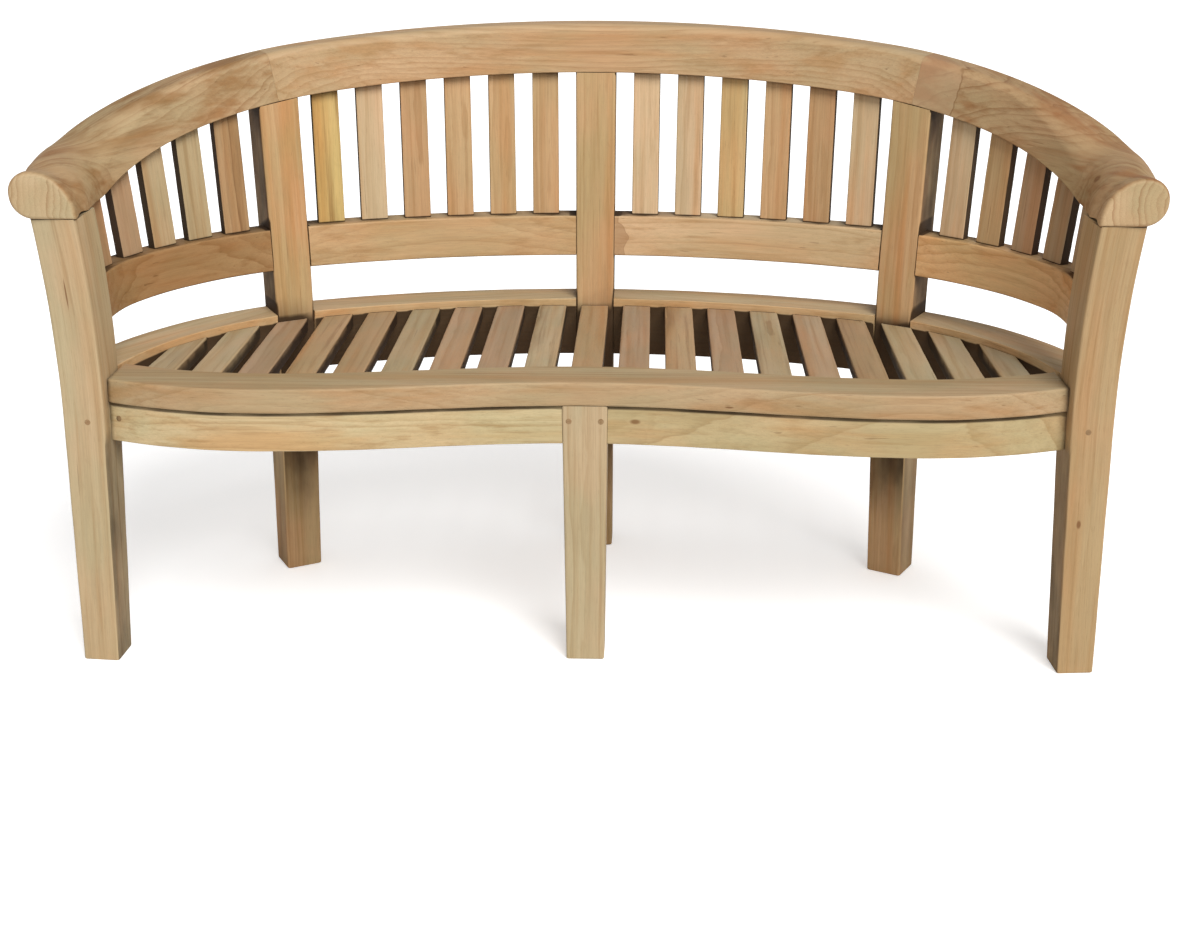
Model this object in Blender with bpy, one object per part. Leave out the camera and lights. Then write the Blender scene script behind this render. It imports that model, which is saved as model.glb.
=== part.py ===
"""Teak garden bench with a kidney-shaped seat, a curved slatted back and rolled arms.

Metres, +Z up. The bench stands on z = 0, faces -Y and is symmetric about x = 0. In the plan the
back follows a broad arc that turns into a tighter arc round each arm. Angles along it are measured
from +Y, positive towards +X, and offsets are measured outwards from the inner faces at seat height.
"""
import math

import bmesh
import bpy
from mathutils import Matrix, Vector

# Fits between pieces
FIT_GAP = 0.0003
CUT_OVERRUN = 0.004
LEG_TOP_OVERRUN = 0.025
SHARP_ANGLE = math.radians(34.0)

# Plan of the back, to the inner faces of posts and rails below the bend of the legs
BACK_RADIUS = 1.165
ARM_RADIUS = 0.396
ARC_JOIN_ANGLE = math.radians(20.4)
BACK_INNER_DEPTH = 0.440

# Lean of the back and flare of the arms above the bend
BEND_HEIGHT = 0.307
BEND_EASE = 0.050
BACK_RECLINE = math.radians(8.3)
ARM_RECLINE = math.radians(9.6)
ARM_END_RECLINE = math.radians(4.2)
ARM_RECLINE_START = math.radians(32.0)
ARM_RECLINE_FULL = math.radians(66.0)
ARM_END_RECLINE_START = math.radians(66.0)
ARM_END_RECLINE_FULL = math.radians(86.0)
ARM_END_ANGLE = math.radians(90.0)

# Front legs, which run up as arm posts
FRONT_LEG_TURN = math.radians(4.9)
FRONT_LEG_OUTSET = 0.028
FRONT_LEG_SPLAY = 0.003
FRONT_LEG_FLARE = 0.0255
FRONT_LEG_FLARE_HEIGHT = 0.331
FRONT_LEG_FOOT_WIDTH = 0.052
FRONT_LEG_SEAT_WIDTH = 0.059
FRONT_LEG_TOP_WIDTH = 0.063
FRONT_LEG_FOOT_DEPTH = 0.052
FRONT_LEG_TOP_DEPTH = 0.078

# Centre front leg
CENTRE_LEG_FOOT_WIDTH = 0.054
CENTRE_LEG_TOP_WIDTH = 0.064
CENTRE_LEG_FACE_Y = 0.0235
CENTRE_LEG_DEPTH = 0.056

# Back legs, which run up as back posts
BACK_LEG_FOOT_WIDTH = 0.056
BACK_LEG_TOP_WIDTH = 0.064
BACK_LEG_FOOT_DEPTH = 0.056
BACK_LEG_SEAT_DEPTH = 0.063
BACK_LEG_TOP_DEPTH = 0.066
SIDE_LEG_SPACING = 0.4713
SIDE_LEG_SPLAY = 0.006
SIDE_LEG_SPLAY_HEIGHT = 0.200
LEG_ARRIS = 0.004

# Lower back rails, above the seat rails
LOWER_RAIL_CLEARANCE = 0.0685
LOWER_RAIL_HEIGHT = 0.063
LOWER_RAIL_DEPTH = 0.043
RAIL_ARRIS = 0.003

# Back slats, and their places as shares of the way from one leg to the next
BACK_SLAT_LENGTH = 0.227
BACK_SLAT_WIDTH = 0.042
BACK_SLAT_THICKNESS = 0.015
BACK_SLAT_TENON = 0.012
MID_SLAT_FIRST_SHARE = 0.1617
MID_SLAT_PITCH_SHARE = 0.1398
MID_SLAT_COUNT = 6
ARM_SLAT_FIRST_SHARE = 0.2005
ARM_SLAT_PITCH_SHARE = 0.1587
ARM_SLAT_COUNT = 4
FRONT_SLAT_SHARE = 0.8668

# Top rail: its fall to the arms, and its section at the back and at the arm ends
TOP_RAIL_FALL = 0.127
TOP_RAIL_LEVEL_Y = 0.160
TOP_RAIL_LEVEL_EASE = 0.025
TOP_RAIL_CROWN = 0.008
TOP_RAIL_BACK_DEPTH = 0.062
TOP_RAIL_BACK_RISE = 0.076
TOP_RAIL_ARM_DEPTH = 0.0895
TOP_RAIL_ARM_RISE = 0.066
BACK_INNER_TOP_ROUND = 0.012
BACK_OUTER_TOP_ROUND = 0.016
BACK_LOWER_ROUND = 0.006
ARM_INNER_TOP_ROUND_DEPTH = 0.056
ARM_INNER_TOP_ROUND_RISE = 0.062
ARM_OUTER_ROUND = 0.031
INNER_LOWER_ROUND = 0.002
ROLL_START_ANGLE = math.radians(46.0)
ROLL_FULL_ANGLE = math.radians(81.0)
RISE_END_START_ANGLE = math.radians(68.0)
SEAM_LEAN = 0.011
ARM_END_OVERHANG = 0.004
ARM_END_ROUND = 0.006

# Seat frame
SEAT_HEIGHT = 0.4175
BOARD_THICKNESS = 0.035
BOARD_WIDTH = 0.075
BOARD_CENTRE_Y = 0.022
BOARD_BULGE_Y = -0.024
BOARD_BULGE_X = 0.460
BOARD_END_Y = 0.018
BOARD_ARRIS = 0.003
APRON_SETBACK = 0.004
APRON_THICKNESS = 0.030
APRON_HEIGHT = 0.056
SEAT_RAIL_PROUD = 0.001
SEAT_RAIL_HEIGHT = 0.092
SEAT_RAIL_DEPTH = 0.065

# Seat slats, tongued into the board and the seat rails
SEAT_SLAT_WIDTH = 0.044
SEAT_SLAT_THICKNESS = 0.022
SEAT_SLAT_PITCH_SHARE = 0.0971
SEAT_SLAT_COUNT = 19
SEAT_SLAT_FRONT_DROP = 0.001
SEAT_SLAT_BACK_DROP = 0.0095
TONGUE_LENGTH = 0.010
TONGUE_THICKNESS = 0.010

# Facets
RAIL_STEPS = 14
ARM_RAIL_STEPS = 24
TOP_RAIL_STEPS = 18
BOARD_STEPS = 40
ROUND_STEPS = 3
ROLL_STEPS = 6
SLAT_END_STEPS = 3
FLARE_STEPS = 7
BEND_STEPS = 18

# Sizes worked out from the driving ones
ARM_CENTRE_X = (BACK_RADIUS - ARM_RADIUS) * math.sin(ARC_JOIN_ANGLE)
ARM_CENTRE_Y = BACK_INNER_DEPTH - BACK_RADIUS + (BACK_RADIUS - ARM_RADIUS) * math.cos(ARC_JOIN_ANGLE)
ARC_JOIN_ARC = BACK_RADIUS * ARC_JOIN_ANGLE
SIDE_LEG_ANGLE = ARC_JOIN_ANGLE + (SIDE_LEG_SPACING - ARC_JOIN_ARC) / ARM_RADIUS
FRONT_LEG_FOOT_X = ARM_CENTRE_X + ARM_RADIUS + FRONT_LEG_OUTSET
SEAT_SLAT_PITCH = FRONT_LEG_FOOT_X * SEAT_SLAT_PITCH_SHARE
BOARD_BOTTOM = SEAT_HEIGHT - BOARD_THICKNESS
SEAT_RAIL_TOP = SEAT_HEIGHT + SEAT_RAIL_PROUD
SEAT_RAIL_BOTTOM = SEAT_RAIL_TOP - SEAT_RAIL_HEIGHT
LOWER_RAIL_BOTTOM = SEAT_RAIL_TOP + LOWER_RAIL_CLEARANCE
LOWER_RAIL_TOP = LOWER_RAIL_BOTTOM + LOWER_RAIL_HEIGHT
TOP_RAIL_BACK_HEIGHT = LOWER_RAIL_TOP + BACK_SLAT_LENGTH
TOP_RAIL_ARM_HEIGHT = TOP_RAIL_BACK_HEIGHT - TOP_RAIL_FALL
TOP_RAIL_BACK_Y = BACK_INNER_DEPTH + (TOP_RAIL_BACK_HEIGHT - BEND_HEIGHT) * math.tan(BACK_RECLINE)
REARMOST_Y = TOP_RAIL_BACK_Y + TOP_RAIL_BACK_DEPTH + (
    TOP_RAIL_BACK_RISE - BACK_OUTER_TOP_ROUND) * math.tan(BACK_RECLINE)
CENTRE_Y = (REARMOST_Y + BOARD_BULGE_Y) / 2

# Wood tones, as linear colours
LEG_TONE = (0.56, 0.36, 0.17)
RAIL_TONE = (0.52, 0.32, 0.15)
SLAT_TONE = (0.50, 0.31, 0.16)
SEAT_TONE = (0.46, 0.31, 0.18)
WOOD_ROUGHNESS = 0.55


def smooth_share(value, start, end):
    """Rises smoothly from 0 at start to 1 at end."""
    share = min(max((value - start) / (end - start), 0), 1)
    return share * share * (3 - 2 * share)


def blend(first, second, share):
    """Mixes two values by a share from 0 to 1."""
    return first + (second - first) * share


def soft_ramp(distance, ease):
    """Is zero before the ramp and the distance after it, with a parabola between."""
    if distance <= -ease:
        return 0
    if distance >= ease:
        return distance
    return (distance + ease) ** 2 / (4 * ease)


def plan_point(angle, offset):
    """Gives the plan point at an angle round the back, offset outwards from the inner faces."""
    turn = abs(angle)
    side = -1 if angle < 0 else 1
    if turn <= ARC_JOIN_ANGLE:
        radius = BACK_RADIUS + offset
        x = radius * math.sin(turn)
        y = BACK_INNER_DEPTH - BACK_RADIUS + radius * math.cos(turn)
    else:
        radius = ARM_RADIUS + offset
        x = ARM_CENTRE_X + radius * math.sin(turn)
        y = ARM_CENTRE_Y + radius * math.cos(turn)
    return Vector((side * x, y - CENTRE_Y, 0))


def lean_slope(angle):
    """Gives how fast the inner faces move outwards with height above the bend."""
    turn = abs(angle)
    full = smooth_share(turn, ARM_RECLINE_START, ARM_RECLINE_FULL)
    end = smooth_share(turn, ARM_END_RECLINE_START, ARM_END_RECLINE_FULL)
    return math.tan(blend(blend(BACK_RECLINE, ARM_RECLINE, full), ARM_END_RECLINE, end))


def face_offset(angle, height):
    """Gives the offset of the inner faces at an angle and a height."""
    return soft_ramp(height - BEND_HEIGHT, BEND_EASE) * lean_slope(angle)


def top_rail_low(angle):
    """Gives the height of the top rail's lower edge, which falls forwards and levels at the arms."""
    offset = (TOP_RAIL_BACK_HEIGHT - BEND_HEIGHT) * lean_slope(angle)
    run = soft_ramp(plan_point(angle, offset).y + CENTRE_Y - TOP_RAIL_LEVEL_Y, TOP_RAIL_LEVEL_EASE)
    share = run / (TOP_RAIL_BACK_Y - TOP_RAIL_LEVEL_Y)
    crown = 4 * share * (1 - share)
    return TOP_RAIL_ARM_HEIGHT + TOP_RAIL_FALL * share + TOP_RAIL_CROWN * crown


def front_leg_size(height):
    """Gives the x of a front leg's centre line, its width and its depth at a height."""
    below = min(height / FRONT_LEG_FLARE_HEIGHT, 1)
    above = max(height - FRONT_LEG_FLARE_HEIGHT, 0) / (TOP_RAIL_ARM_HEIGHT - FRONT_LEG_FLARE_HEIGHT)
    width = FRONT_LEG_FOOT_WIDTH + (FRONT_LEG_SEAT_WIDTH - FRONT_LEG_FOOT_WIDTH) * below + (
        FRONT_LEG_TOP_WIDTH - FRONT_LEG_SEAT_WIDTH) * above
    centre = FRONT_LEG_FOOT_X + FRONT_LEG_SPLAY * below + FRONT_LEG_FLARE * above * above
    depth = blend(FRONT_LEG_FOOT_DEPTH, FRONT_LEG_TOP_DEPTH, height / TOP_RAIL_ARM_HEIGHT)
    return centre, width, depth


def front_leg_point(across, back, height):
    """Gives a point of the right front leg from shares of its half width and of its depth."""
    centre, width, depth = front_leg_size(height)
    u = across * width / 2
    v = back * depth - depth / 2
    x = centre + u * math.cos(FRONT_LEG_TURN) - v * math.sin(FRONT_LEG_TURN)
    y = depth / 2 + u * math.sin(FRONT_LEG_TURN) + v * math.cos(FRONT_LEG_TURN)
    return x, y


def front_leg_inner_x(y, height):
    """Gives the x of the right front leg's inner face at a y and a height, less the fit gap."""
    face_x, face_y = front_leg_point(-1, 0, height)
    return face_x - (y - face_y) * math.tan(FRONT_LEG_TURN) - FIT_GAP


def back_leg_width(height):
    """Gives the width of a back leg at a height."""
    return blend(BACK_LEG_FOOT_WIDTH, BACK_LEG_TOP_WIDTH, height / TOP_RAIL_BACK_HEIGHT)


def back_leg_depth(height):
    """Gives the depth of a back leg at a height."""
    if height < SEAT_RAIL_BOTTOM:
        return blend(BACK_LEG_FOOT_DEPTH, BACK_LEG_SEAT_DEPTH, height / SEAT_RAIL_BOTTOM)
    share = (height - SEAT_RAIL_BOTTOM) / (TOP_RAIL_BACK_HEIGHT - SEAT_RAIL_BOTTOM)
    return blend(BACK_LEG_SEAT_DEPTH, BACK_LEG_TOP_DEPTH, share)


def back_leg_shift(angle, height):
    """Gives how far a back leg stands off its line at a height: the side legs splay below the back."""
    if not angle:
        return 0
    return math.copysign(SIDE_LEG_SPLAY, angle) * (
        1 - smooth_share(height, SIDE_LEG_SPLAY_HEIGHT, LOWER_RAIL_BOTTOM))


def angle_beside_leg(leg_angle, side, offset, height):
    """Gives the angle at which a point of a rail meets the side face of a back leg."""
    reach = side * (back_leg_width(height) / 2 + FIT_GAP) + back_leg_shift(leg_angle, height)
    radius = BACK_RADIUS if abs(leg_angle) < ARC_JOIN_ANGLE else ARM_RADIUS
    return leg_angle + math.asin(reach / (radius + offset))


def angle_at_front_leg(offset, height):
    """Gives the angle at which a point of a rail meets the back face of a front leg."""
    face_x, face_y = front_leg_point(0, 1, height)
    reach = (face_y - ARM_CENTRE_Y) * math.cos(FRONT_LEG_TURN) + FIT_GAP - (
        face_x - ARM_CENTRE_X) * math.sin(FRONT_LEG_TURN)
    return math.acos(reach / (ARM_RADIUS + offset)) - FRONT_LEG_TURN


def seat_lean():
    """Gives the offset of the legs' inner faces behind the seat slats."""
    return face_offset(0, SEAT_HEIGHT - SEAT_SLAT_BACK_DROP - SEAT_SLAT_THICKNESS / 2)


def rail_face_y(x):
    """Gives the y of the seat rails' inner face at an x, less the fit gap."""
    x = abs(x)
    radius = BACK_RADIUS + seat_lean() - FIT_GAP
    if x <= radius * math.sin(ARC_JOIN_ANGLE):
        return BACK_INNER_DEPTH - BACK_RADIUS + math.sqrt(radius ** 2 - x ** 2)
    radius = ARM_RADIUS + seat_lean() - FIT_GAP
    return ARM_CENTRE_Y + math.sqrt(radius ** 2 - (x - ARM_CENTRE_X) ** 2)


def leg_face_y(x, leg_angle, height):
    """Gives the y of a back leg's inner face at an x and a height, less the fit gap."""
    face = plan_point(leg_angle, face_offset(leg_angle, height) - FIT_GAP)
    return face.y - (x - face.x) * math.tan(leg_angle)


def board_wave(x):
    """Gives the y of the front board's front edge: a hollow at the centre between two bulges."""
    x = abs(x)
    if x < BOARD_BULGE_X:
        wave = (1 + math.cos(math.pi * x / BOARD_BULGE_X)) / 2
        return BOARD_BULGE_Y + (BOARD_CENTRE_Y - BOARD_BULGE_Y) * wave
    end_x = front_leg_inner_x(BOARD_END_Y, BOARD_BOTTOM)
    share = (x - BOARD_BULGE_X) / (end_x - BOARD_BULGE_X)
    return BOARD_BULGE_Y + (BOARD_END_Y - BOARD_BULGE_Y) * share * share


def clear_scene():
    """Removes every object and makes the collections for the parts and the cutters."""
    for existing in list(bpy.data.objects):
        bpy.data.objects.remove(existing, do_unlink=True)
    parts = bpy.data.collections.new("teak_bench")
    cutters = bpy.data.collections.new("teak_bench_cutters")
    bpy.context.scene.collection.children.link(parts)
    bpy.context.scene.collection.children.link(cutters)
    return parts, cutters


def wood_material(name, tone):
    """Makes the wood material of one piece."""
    material = bpy.data.materials.new(name + "_teak")
    material.use_nodes = True
    shader = material.node_tree.nodes["Principled BSDF"]
    shader.inputs["Base Color"].default_value = (*tone, 1)
    shader.inputs["Roughness"].default_value = WOOD_ROUGHNESS
    shader.inputs["Metallic"].default_value = 0
    return material


def add_piece(name, mesh, tone, location=(0, 0, 0), turn=0, tilt=0):
    """Adds one wooden piece from a mesh, placed by its location, its tilt and its turn about Z."""
    piece = bpy.data.objects.new(name, mesh)
    piece.location = location
    piece.rotation_euler = (tilt, 0, turn)
    mesh.materials.append(wood_material(name, tone))
    mesh.shade_smooth()
    mesh.set_sharp_from_angle(angle=SHARP_ANGLE)
    PARTS.objects.link(piece)
    return piece


def add_cutter(name, mesh):
    """Adds a cutter, which isn't part of the model."""
    cutter = bpy.data.objects.new(name, mesh)
    cutter.hide_render = True
    cutter.display_type = 'WIRE'
    CUTTERS.objects.link(cutter)
    return cutter


def cut(piece, cutter):
    """Cuts a piece by a cutter."""
    modifier = piece.modifiers.new("cut_" + cutter.name, 'BOOLEAN')
    modifier.operation = 'DIFFERENCE'
    modifier.solver = 'EXACT'
    modifier.object = cutter


def fuse(piece, other):
    """Joins another body to a piece."""
    modifier = piece.modifiers.new("fuse_" + other.name, 'BOOLEAN')
    modifier.operation = 'UNION'
    modifier.solver = 'EXACT'
    modifier.object = other


def loft_mesh(name, rings):
    """Lofts a closed body through rings of points, with a flat cap at each end."""
    bm = bmesh.new()
    rows = [[bm.verts.new(point) for point in ring] for ring in rings]
    count = len(rows[0])
    for low, high in zip(rows, rows[1:]):
        for i in range(count):
            j = (i + 1) % count
            bm.faces.new((low[i], low[j], high[j], high[i]))
    bm.faces.new(reversed(rows[0]))
    bm.faces.new(rows[-1])
    bmesh.ops.recalc_face_normals(bm, faces=bm.faces)
    mesh = bpy.data.meshes.new(name)
    bm.to_mesh(mesh)
    bm.free()
    return mesh


def box_mesh(name, width, depth, height):
    """Makes a box about its centre."""
    bm = bmesh.new()
    bmesh.ops.create_cube(bm, size=1)
    bmesh.ops.scale(bm, vec=(width, depth, height), verts=bm.verts)
    mesh = bpy.data.meshes.new(name)
    bm.to_mesh(mesh)
    bm.free()
    return mesh


def round_corner(points, centre_u, centre_v, radius_u, radius_v, start, steps):
    """Adds a quarter ellipse of an outline, anticlockwise from a start angle in degrees."""
    for i in range(steps + 1):
        angle = math.radians(start + 90 * i / steps)
        points.append((centre_u + radius_u * math.cos(angle), centre_v + radius_v * math.sin(angle)))


def rounded_rectangle(low_u, high_u, low_v, high_v, radius):
    """Gives the outline of a rectangle with equal rounded corners, anticlockwise."""
    points = []
    for start, u, v in ((180, low_u + radius, low_v + radius), (270, high_u - radius, low_v + radius),
                        (0, high_u - radius, high_v - radius), (90, low_u + radius, high_v - radius)):
        round_corner(points, u, v, radius, radius, start, ROUND_STEPS)
    return points


def bend_heights(top):
    """Gives the heights of a back leg's rings: close together round the bend and the seat rails."""
    low = min(SIDE_LEG_SPLAY_HEIGHT, BEND_HEIGHT - BEND_EASE)
    high = max(LOWER_RAIL_BOTTOM, BEND_HEIGHT + BEND_EASE)
    return [0] + [blend(low, high, i / BEND_STEPS) for i in range(BEND_STEPS + 1)] + [top]


def add_front_leg(name, side, underside):
    """Adds a front leg that flares outwards above the seat and carries the arm."""
    rings = []
    top = TOP_RAIL_ARM_HEIGHT + TOP_RAIL_ARM_RISE / 2
    span = top - FRONT_LEG_FLARE_HEIGHT
    for height in [0] + [FRONT_LEG_FLARE_HEIGHT + span * i / FLARE_STEPS for i in range(FLARE_STEPS + 1)]:
        width, depth = front_leg_size(height)[1:]
        outline = rounded_rectangle(-width / 2, width / 2, 0, depth, LEG_ARRIS)
        points = [front_leg_point(2 * u / width, v / depth, height) for u, v in outline]
        rings.append([(side * x, y - CENTRE_Y, height) for x, y in points])
    leg = add_piece(name, loft_mesh(name, rings), LEG_TONE)
    cut(leg, underside)


def add_centre_front_leg():
    """Adds the short leg under the middle of the front board."""
    rings = []
    top = BOARD_BOTTOM - FIT_GAP
    for height, width in ((0, CENTRE_LEG_FOOT_WIDTH), (top, CENTRE_LEG_TOP_WIDTH)):
        outline = rounded_rectangle(-width / 2, width / 2, CENTRE_LEG_FACE_Y,
                                    CENTRE_LEG_FACE_Y + CENTRE_LEG_DEPTH, LEG_ARRIS)
        rings.append([(x, y - CENTRE_Y, height) for x, y in outline])
    add_piece("front_leg_centre", loft_mesh("front_leg_centre", rings), LEG_TONE)


def add_back_leg(name, angle, underside):
    """Adds a back leg that leans back above the seat and carries the top rail."""
    rings = []
    top = top_rail_low(angle) + LEG_TOP_OVERRUN
    for height in bend_heights(top):
        half = back_leg_width(height) / 2
        inner = face_offset(angle, height)
        outline = rounded_rectangle(-half, half, inner, inner + back_leg_depth(height), LEG_ARRIS)
        shift = back_leg_shift(angle, height)
        rings.append([(shift + u, v, height) for u, v in outline])
    leg = add_piece(name, loft_mesh(name, rings), LEG_TONE, plan_point(angle, 0), -angle)
    cut(leg, underside)


def bay_ends(side, in_arm):
    """Gives the two ends of a bay behind the seat or in an arm.

    Each end is the angle it lies near and a function that gives the exact angle from the offset and
    the height of a rail's point.
    """
    def centre_end(offset, height):
        return side * angle_beside_leg(0, 1, offset, height)

    def side_end(offset, height):
        return side * angle_beside_leg(SIDE_LEG_ANGLE, -1, offset, height)

    def arm_end(offset, height):
        return side * angle_beside_leg(SIDE_LEG_ANGLE, 1, offset, height)

    def front_end(offset, height):
        return side * angle_at_front_leg(offset, height)

    if in_arm:
        return (SIDE_LEG_ANGLE, arm_end), (angle_at_front_leg(0, SEAT_HEIGHT), front_end)
    return (0, centre_end), (SIDE_LEG_ANGLE, side_end)


def sweep_rings(outline, ends, steps, upright):
    """Sweeps an outline of offsets and heights from one leg to the next, upright or leaning."""
    def lean(angle, height):
        return seat_lean() if upright else face_offset(angle, height)

    (first_near, first_end), (last_near, last_end) = ends
    rings = []
    for k in range(steps + 1):
        ring = []
        for offset, height in outline:
            first = first_end(offset + lean(first_near, height), height)
            last = last_end(offset + lean(last_near, height), height)
            angle = blend(first, last, k / steps)
            point = plan_point(angle, offset + lean(angle, height))
            ring.append((point.x, point.y, height))
        rings.append(ring)
    return rings


def rail_outline(depth, bottom, top, arris):
    """Gives the section of a rail with small arrises, as offsets and heights."""
    return [(arris, bottom), (depth - arris, bottom), (depth, bottom + arris), (depth, top - arris),
            (depth - arris, top), (arris, top), (0, top - arris), (0, bottom + arris)]


def slat_frame(angle):
    """Gives the low and high ends of a back slat's centre line, and its tilt."""
    slope = lean_slope(angle)
    middle = LOWER_RAIL_DEPTH / 2
    low_z = LOWER_RAIL_TOP - BACK_SLAT_TENON
    high_z = top_rail_low(angle) + BACK_SLAT_TENON
    low = plan_point(angle, middle + face_offset(angle, low_z))
    high = plan_point(angle, middle + face_offset(angle, high_z))
    low.z = low_z
    high.z = high_z
    return low, high, math.atan(slope)


def slat_body(name, angle, clearance):
    """Makes a back slat's mesh, larger all round by a clearance, with its place and tilt."""
    low, high, tilt = slat_frame(angle)
    length = (high - low).length + 2 * clearance
    mesh = box_mesh(name, BACK_SLAT_WIDTH + 2 * clearance, BACK_SLAT_THICKNESS + 2 * clearance, length)
    return mesh, (low + high) / 2, tilt


def add_slat_sockets(name, angles):
    """Makes one cutter with a socket for each slat."""
    bm = bmesh.new()
    for angle in angles:
        mesh, middle, tilt = slat_body(name, angle, FIT_GAP)
        place = Matrix.Translation(middle) @ Matrix.Rotation(-angle, 4, 'Z') @ Matrix.Rotation(-tilt, 4, 'X')
        mesh.transform(place)
        bm.from_mesh(mesh)
        bpy.data.meshes.remove(mesh)
    joined = bpy.data.meshes.new(name)
    bm.to_mesh(joined)
    bm.free()
    return add_cutter(name, joined)


def mid_slat_angles(side):
    """Gives the angles of the back slats behind one half of the seat, from the centre outwards."""
    bay = SIDE_LEG_SPACING / BACK_RADIUS
    return [side * bay * (MID_SLAT_FIRST_SHARE + MID_SLAT_PITCH_SHARE * i) for i in range(MID_SLAT_COUNT)]


def arm_slat_angle(side, share):
    """Gives the angle of a slat in an arm from its share of the way from the side leg to the front leg."""
    return side * blend(SIDE_LEG_ANGLE, angle_at_front_leg(0, SEAT_HEIGHT), share)


def arm_slat_angles(side):
    """Gives the angles of the slats in one arm, from the side back leg forwards."""
    return [arm_slat_angle(side, ARM_SLAT_FIRST_SHARE + ARM_SLAT_PITCH_SHARE * i)
            for i in range(ARM_SLAT_COUNT)]


def add_back_slat(name, angle):
    """Adds one back slat."""
    mesh, middle, tilt = slat_body(name, angle, 0)
    add_piece(name, mesh, SLAT_TONE, middle, -angle, -tilt)


def top_rail_section(angle):
    """Gives the top rail's section at an angle: upright at the back, rolled over at the arms."""
    roll = smooth_share(abs(angle), ROLL_START_ANGLE, ROLL_FULL_ANGLE)
    depth = blend(TOP_RAIL_BACK_DEPTH, TOP_RAIL_ARM_DEPTH, roll)
    end = smooth_share(abs(angle), RISE_END_START_ANGLE, ARM_END_ANGLE)
    rise = blend(TOP_RAIL_BACK_RISE, TOP_RAIL_ARM_RISE, end)
    inner_u = blend(BACK_INNER_TOP_ROUND, ARM_INNER_TOP_ROUND_DEPTH, roll)
    inner_v = blend(BACK_INNER_TOP_ROUND, ARM_INNER_TOP_ROUND_RISE, roll)
    outer = blend(BACK_OUTER_TOP_ROUND, ARM_OUTER_ROUND, roll)
    lower = blend(BACK_LOWER_ROUND, ARM_OUTER_ROUND, roll)
    points = []
    round_corner(points, INNER_LOWER_ROUND, INNER_LOWER_ROUND, INNER_LOWER_ROUND, INNER_LOWER_ROUND, 180, 1)
    round_corner(points, depth - lower, lower, lower, lower, 270, ROLL_STEPS)
    round_corner(points, depth - outer, rise - outer, outer, outer, 0, ROLL_STEPS)
    round_corner(points, inner_u, rise - inner_v, inner_u, inner_v, 90, ROLL_STEPS)
    return [(u + v * lean_slope(angle), v) for u, v in points]


def seam_shift(share):
    """Gives how far the seam between two top rail pieces leans towards the arm at a share of the rise."""
    return SEAM_LEAN * share


def top_rail_ring(angle_of_point, inset=0):
    """Gives one ring of the top rail, whose points may lie at different angles."""
    reference = angle_of_point(0)
    section = top_rail_section(reference)
    middle_u = sum(u for u, v in section) / len(section)
    middle_v = sum(v for u, v in section) / len(section)
    rise = max(v for u, v in section)
    ring = []
    for u, v in section:
        reach = math.hypot(u - middle_u, v - middle_v)
        u = u - (u - middle_u) / reach * inset
        v = v - (v - middle_v) / reach * inset
        angle = angle_of_point(v / rise)
        low = top_rail_low(angle)
        point = plan_point(angle, (low - BEND_HEIGHT) * lean_slope(angle) + u)
        ring.append((point.x, point.y, low + v))
    return ring


def seam_angle(side, share, gap):
    """Gives the angle of the seam over a side back leg."""
    radius = ARM_RADIUS + face_offset(SIDE_LEG_ANGLE, TOP_RAIL_BACK_HEIGHT)
    return side * (SIDE_LEG_ANGLE + (seam_shift(share) + gap) / radius)


def arm_end_angle():
    """Gives the angle at which the curve of an arm reaches the round of its end."""
    reach = ARM_END_ROUND - ARM_END_OVERHANG - ARM_CENTRE_Y
    radius = ARM_RADIUS + (TOP_RAIL_ARM_HEIGHT - BEND_HEIGHT) * math.tan(ARM_END_RECLINE)
    return math.acos(min(max(reach / radius, 0), 1))


def add_centre_top_rail(sockets):
    """Adds the middle piece of the top rail, from seam to seam."""
    rings = []
    for k in range(-TOP_RAIL_STEPS, TOP_RAIL_STEPS + 1):
        share_along = k / TOP_RAIL_STEPS
        side = -1 if k < 0 else 1

        def angle_of_point(share):
            return seam_angle(side, share, -FIT_GAP / 2) * abs(share_along)

        rings.append(top_rail_ring(angle_of_point))
    rail = add_piece("top_rail_centre", loft_mesh("top_rail_centre", rings), RAIL_TONE)
    for socket in sockets:
        cut(rail, socket)


def add_arm_top_rail(name, side, socket):
    """Adds the arm piece of the top rail, from the seam to its rolled end."""
    rings = []
    last = arm_end_angle()
    for k in range(TOP_RAIL_STEPS + 1):

        def angle_of_point(share):
            return blend(seam_angle(side, share, FIT_GAP / 2), side * last, k / TOP_RAIL_STEPS)

        rings.append(top_rail_ring(angle_of_point))
    end = rings[-1]
    face_y = -ARM_END_OVERHANG - CENTRE_Y
    full_y = face_y + ARM_END_ROUND
    rings[-1] = [(x, full_y, z) for x, y, z in end]
    for i in range(1, ROUND_STEPS + 1):
        turn = math.pi / 2 * i / ROUND_STEPS
        inset = ARM_END_ROUND * (1 - math.cos(turn))
        ring = top_rail_ring(lambda share: side * last, inset)
        rings.append([(x, full_y - ARM_END_ROUND * math.sin(turn), z) for x, y, z in ring])
    rail = add_piece(name, loft_mesh(name, rings), RAIL_TONE)
    cut(rail, socket)


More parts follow.
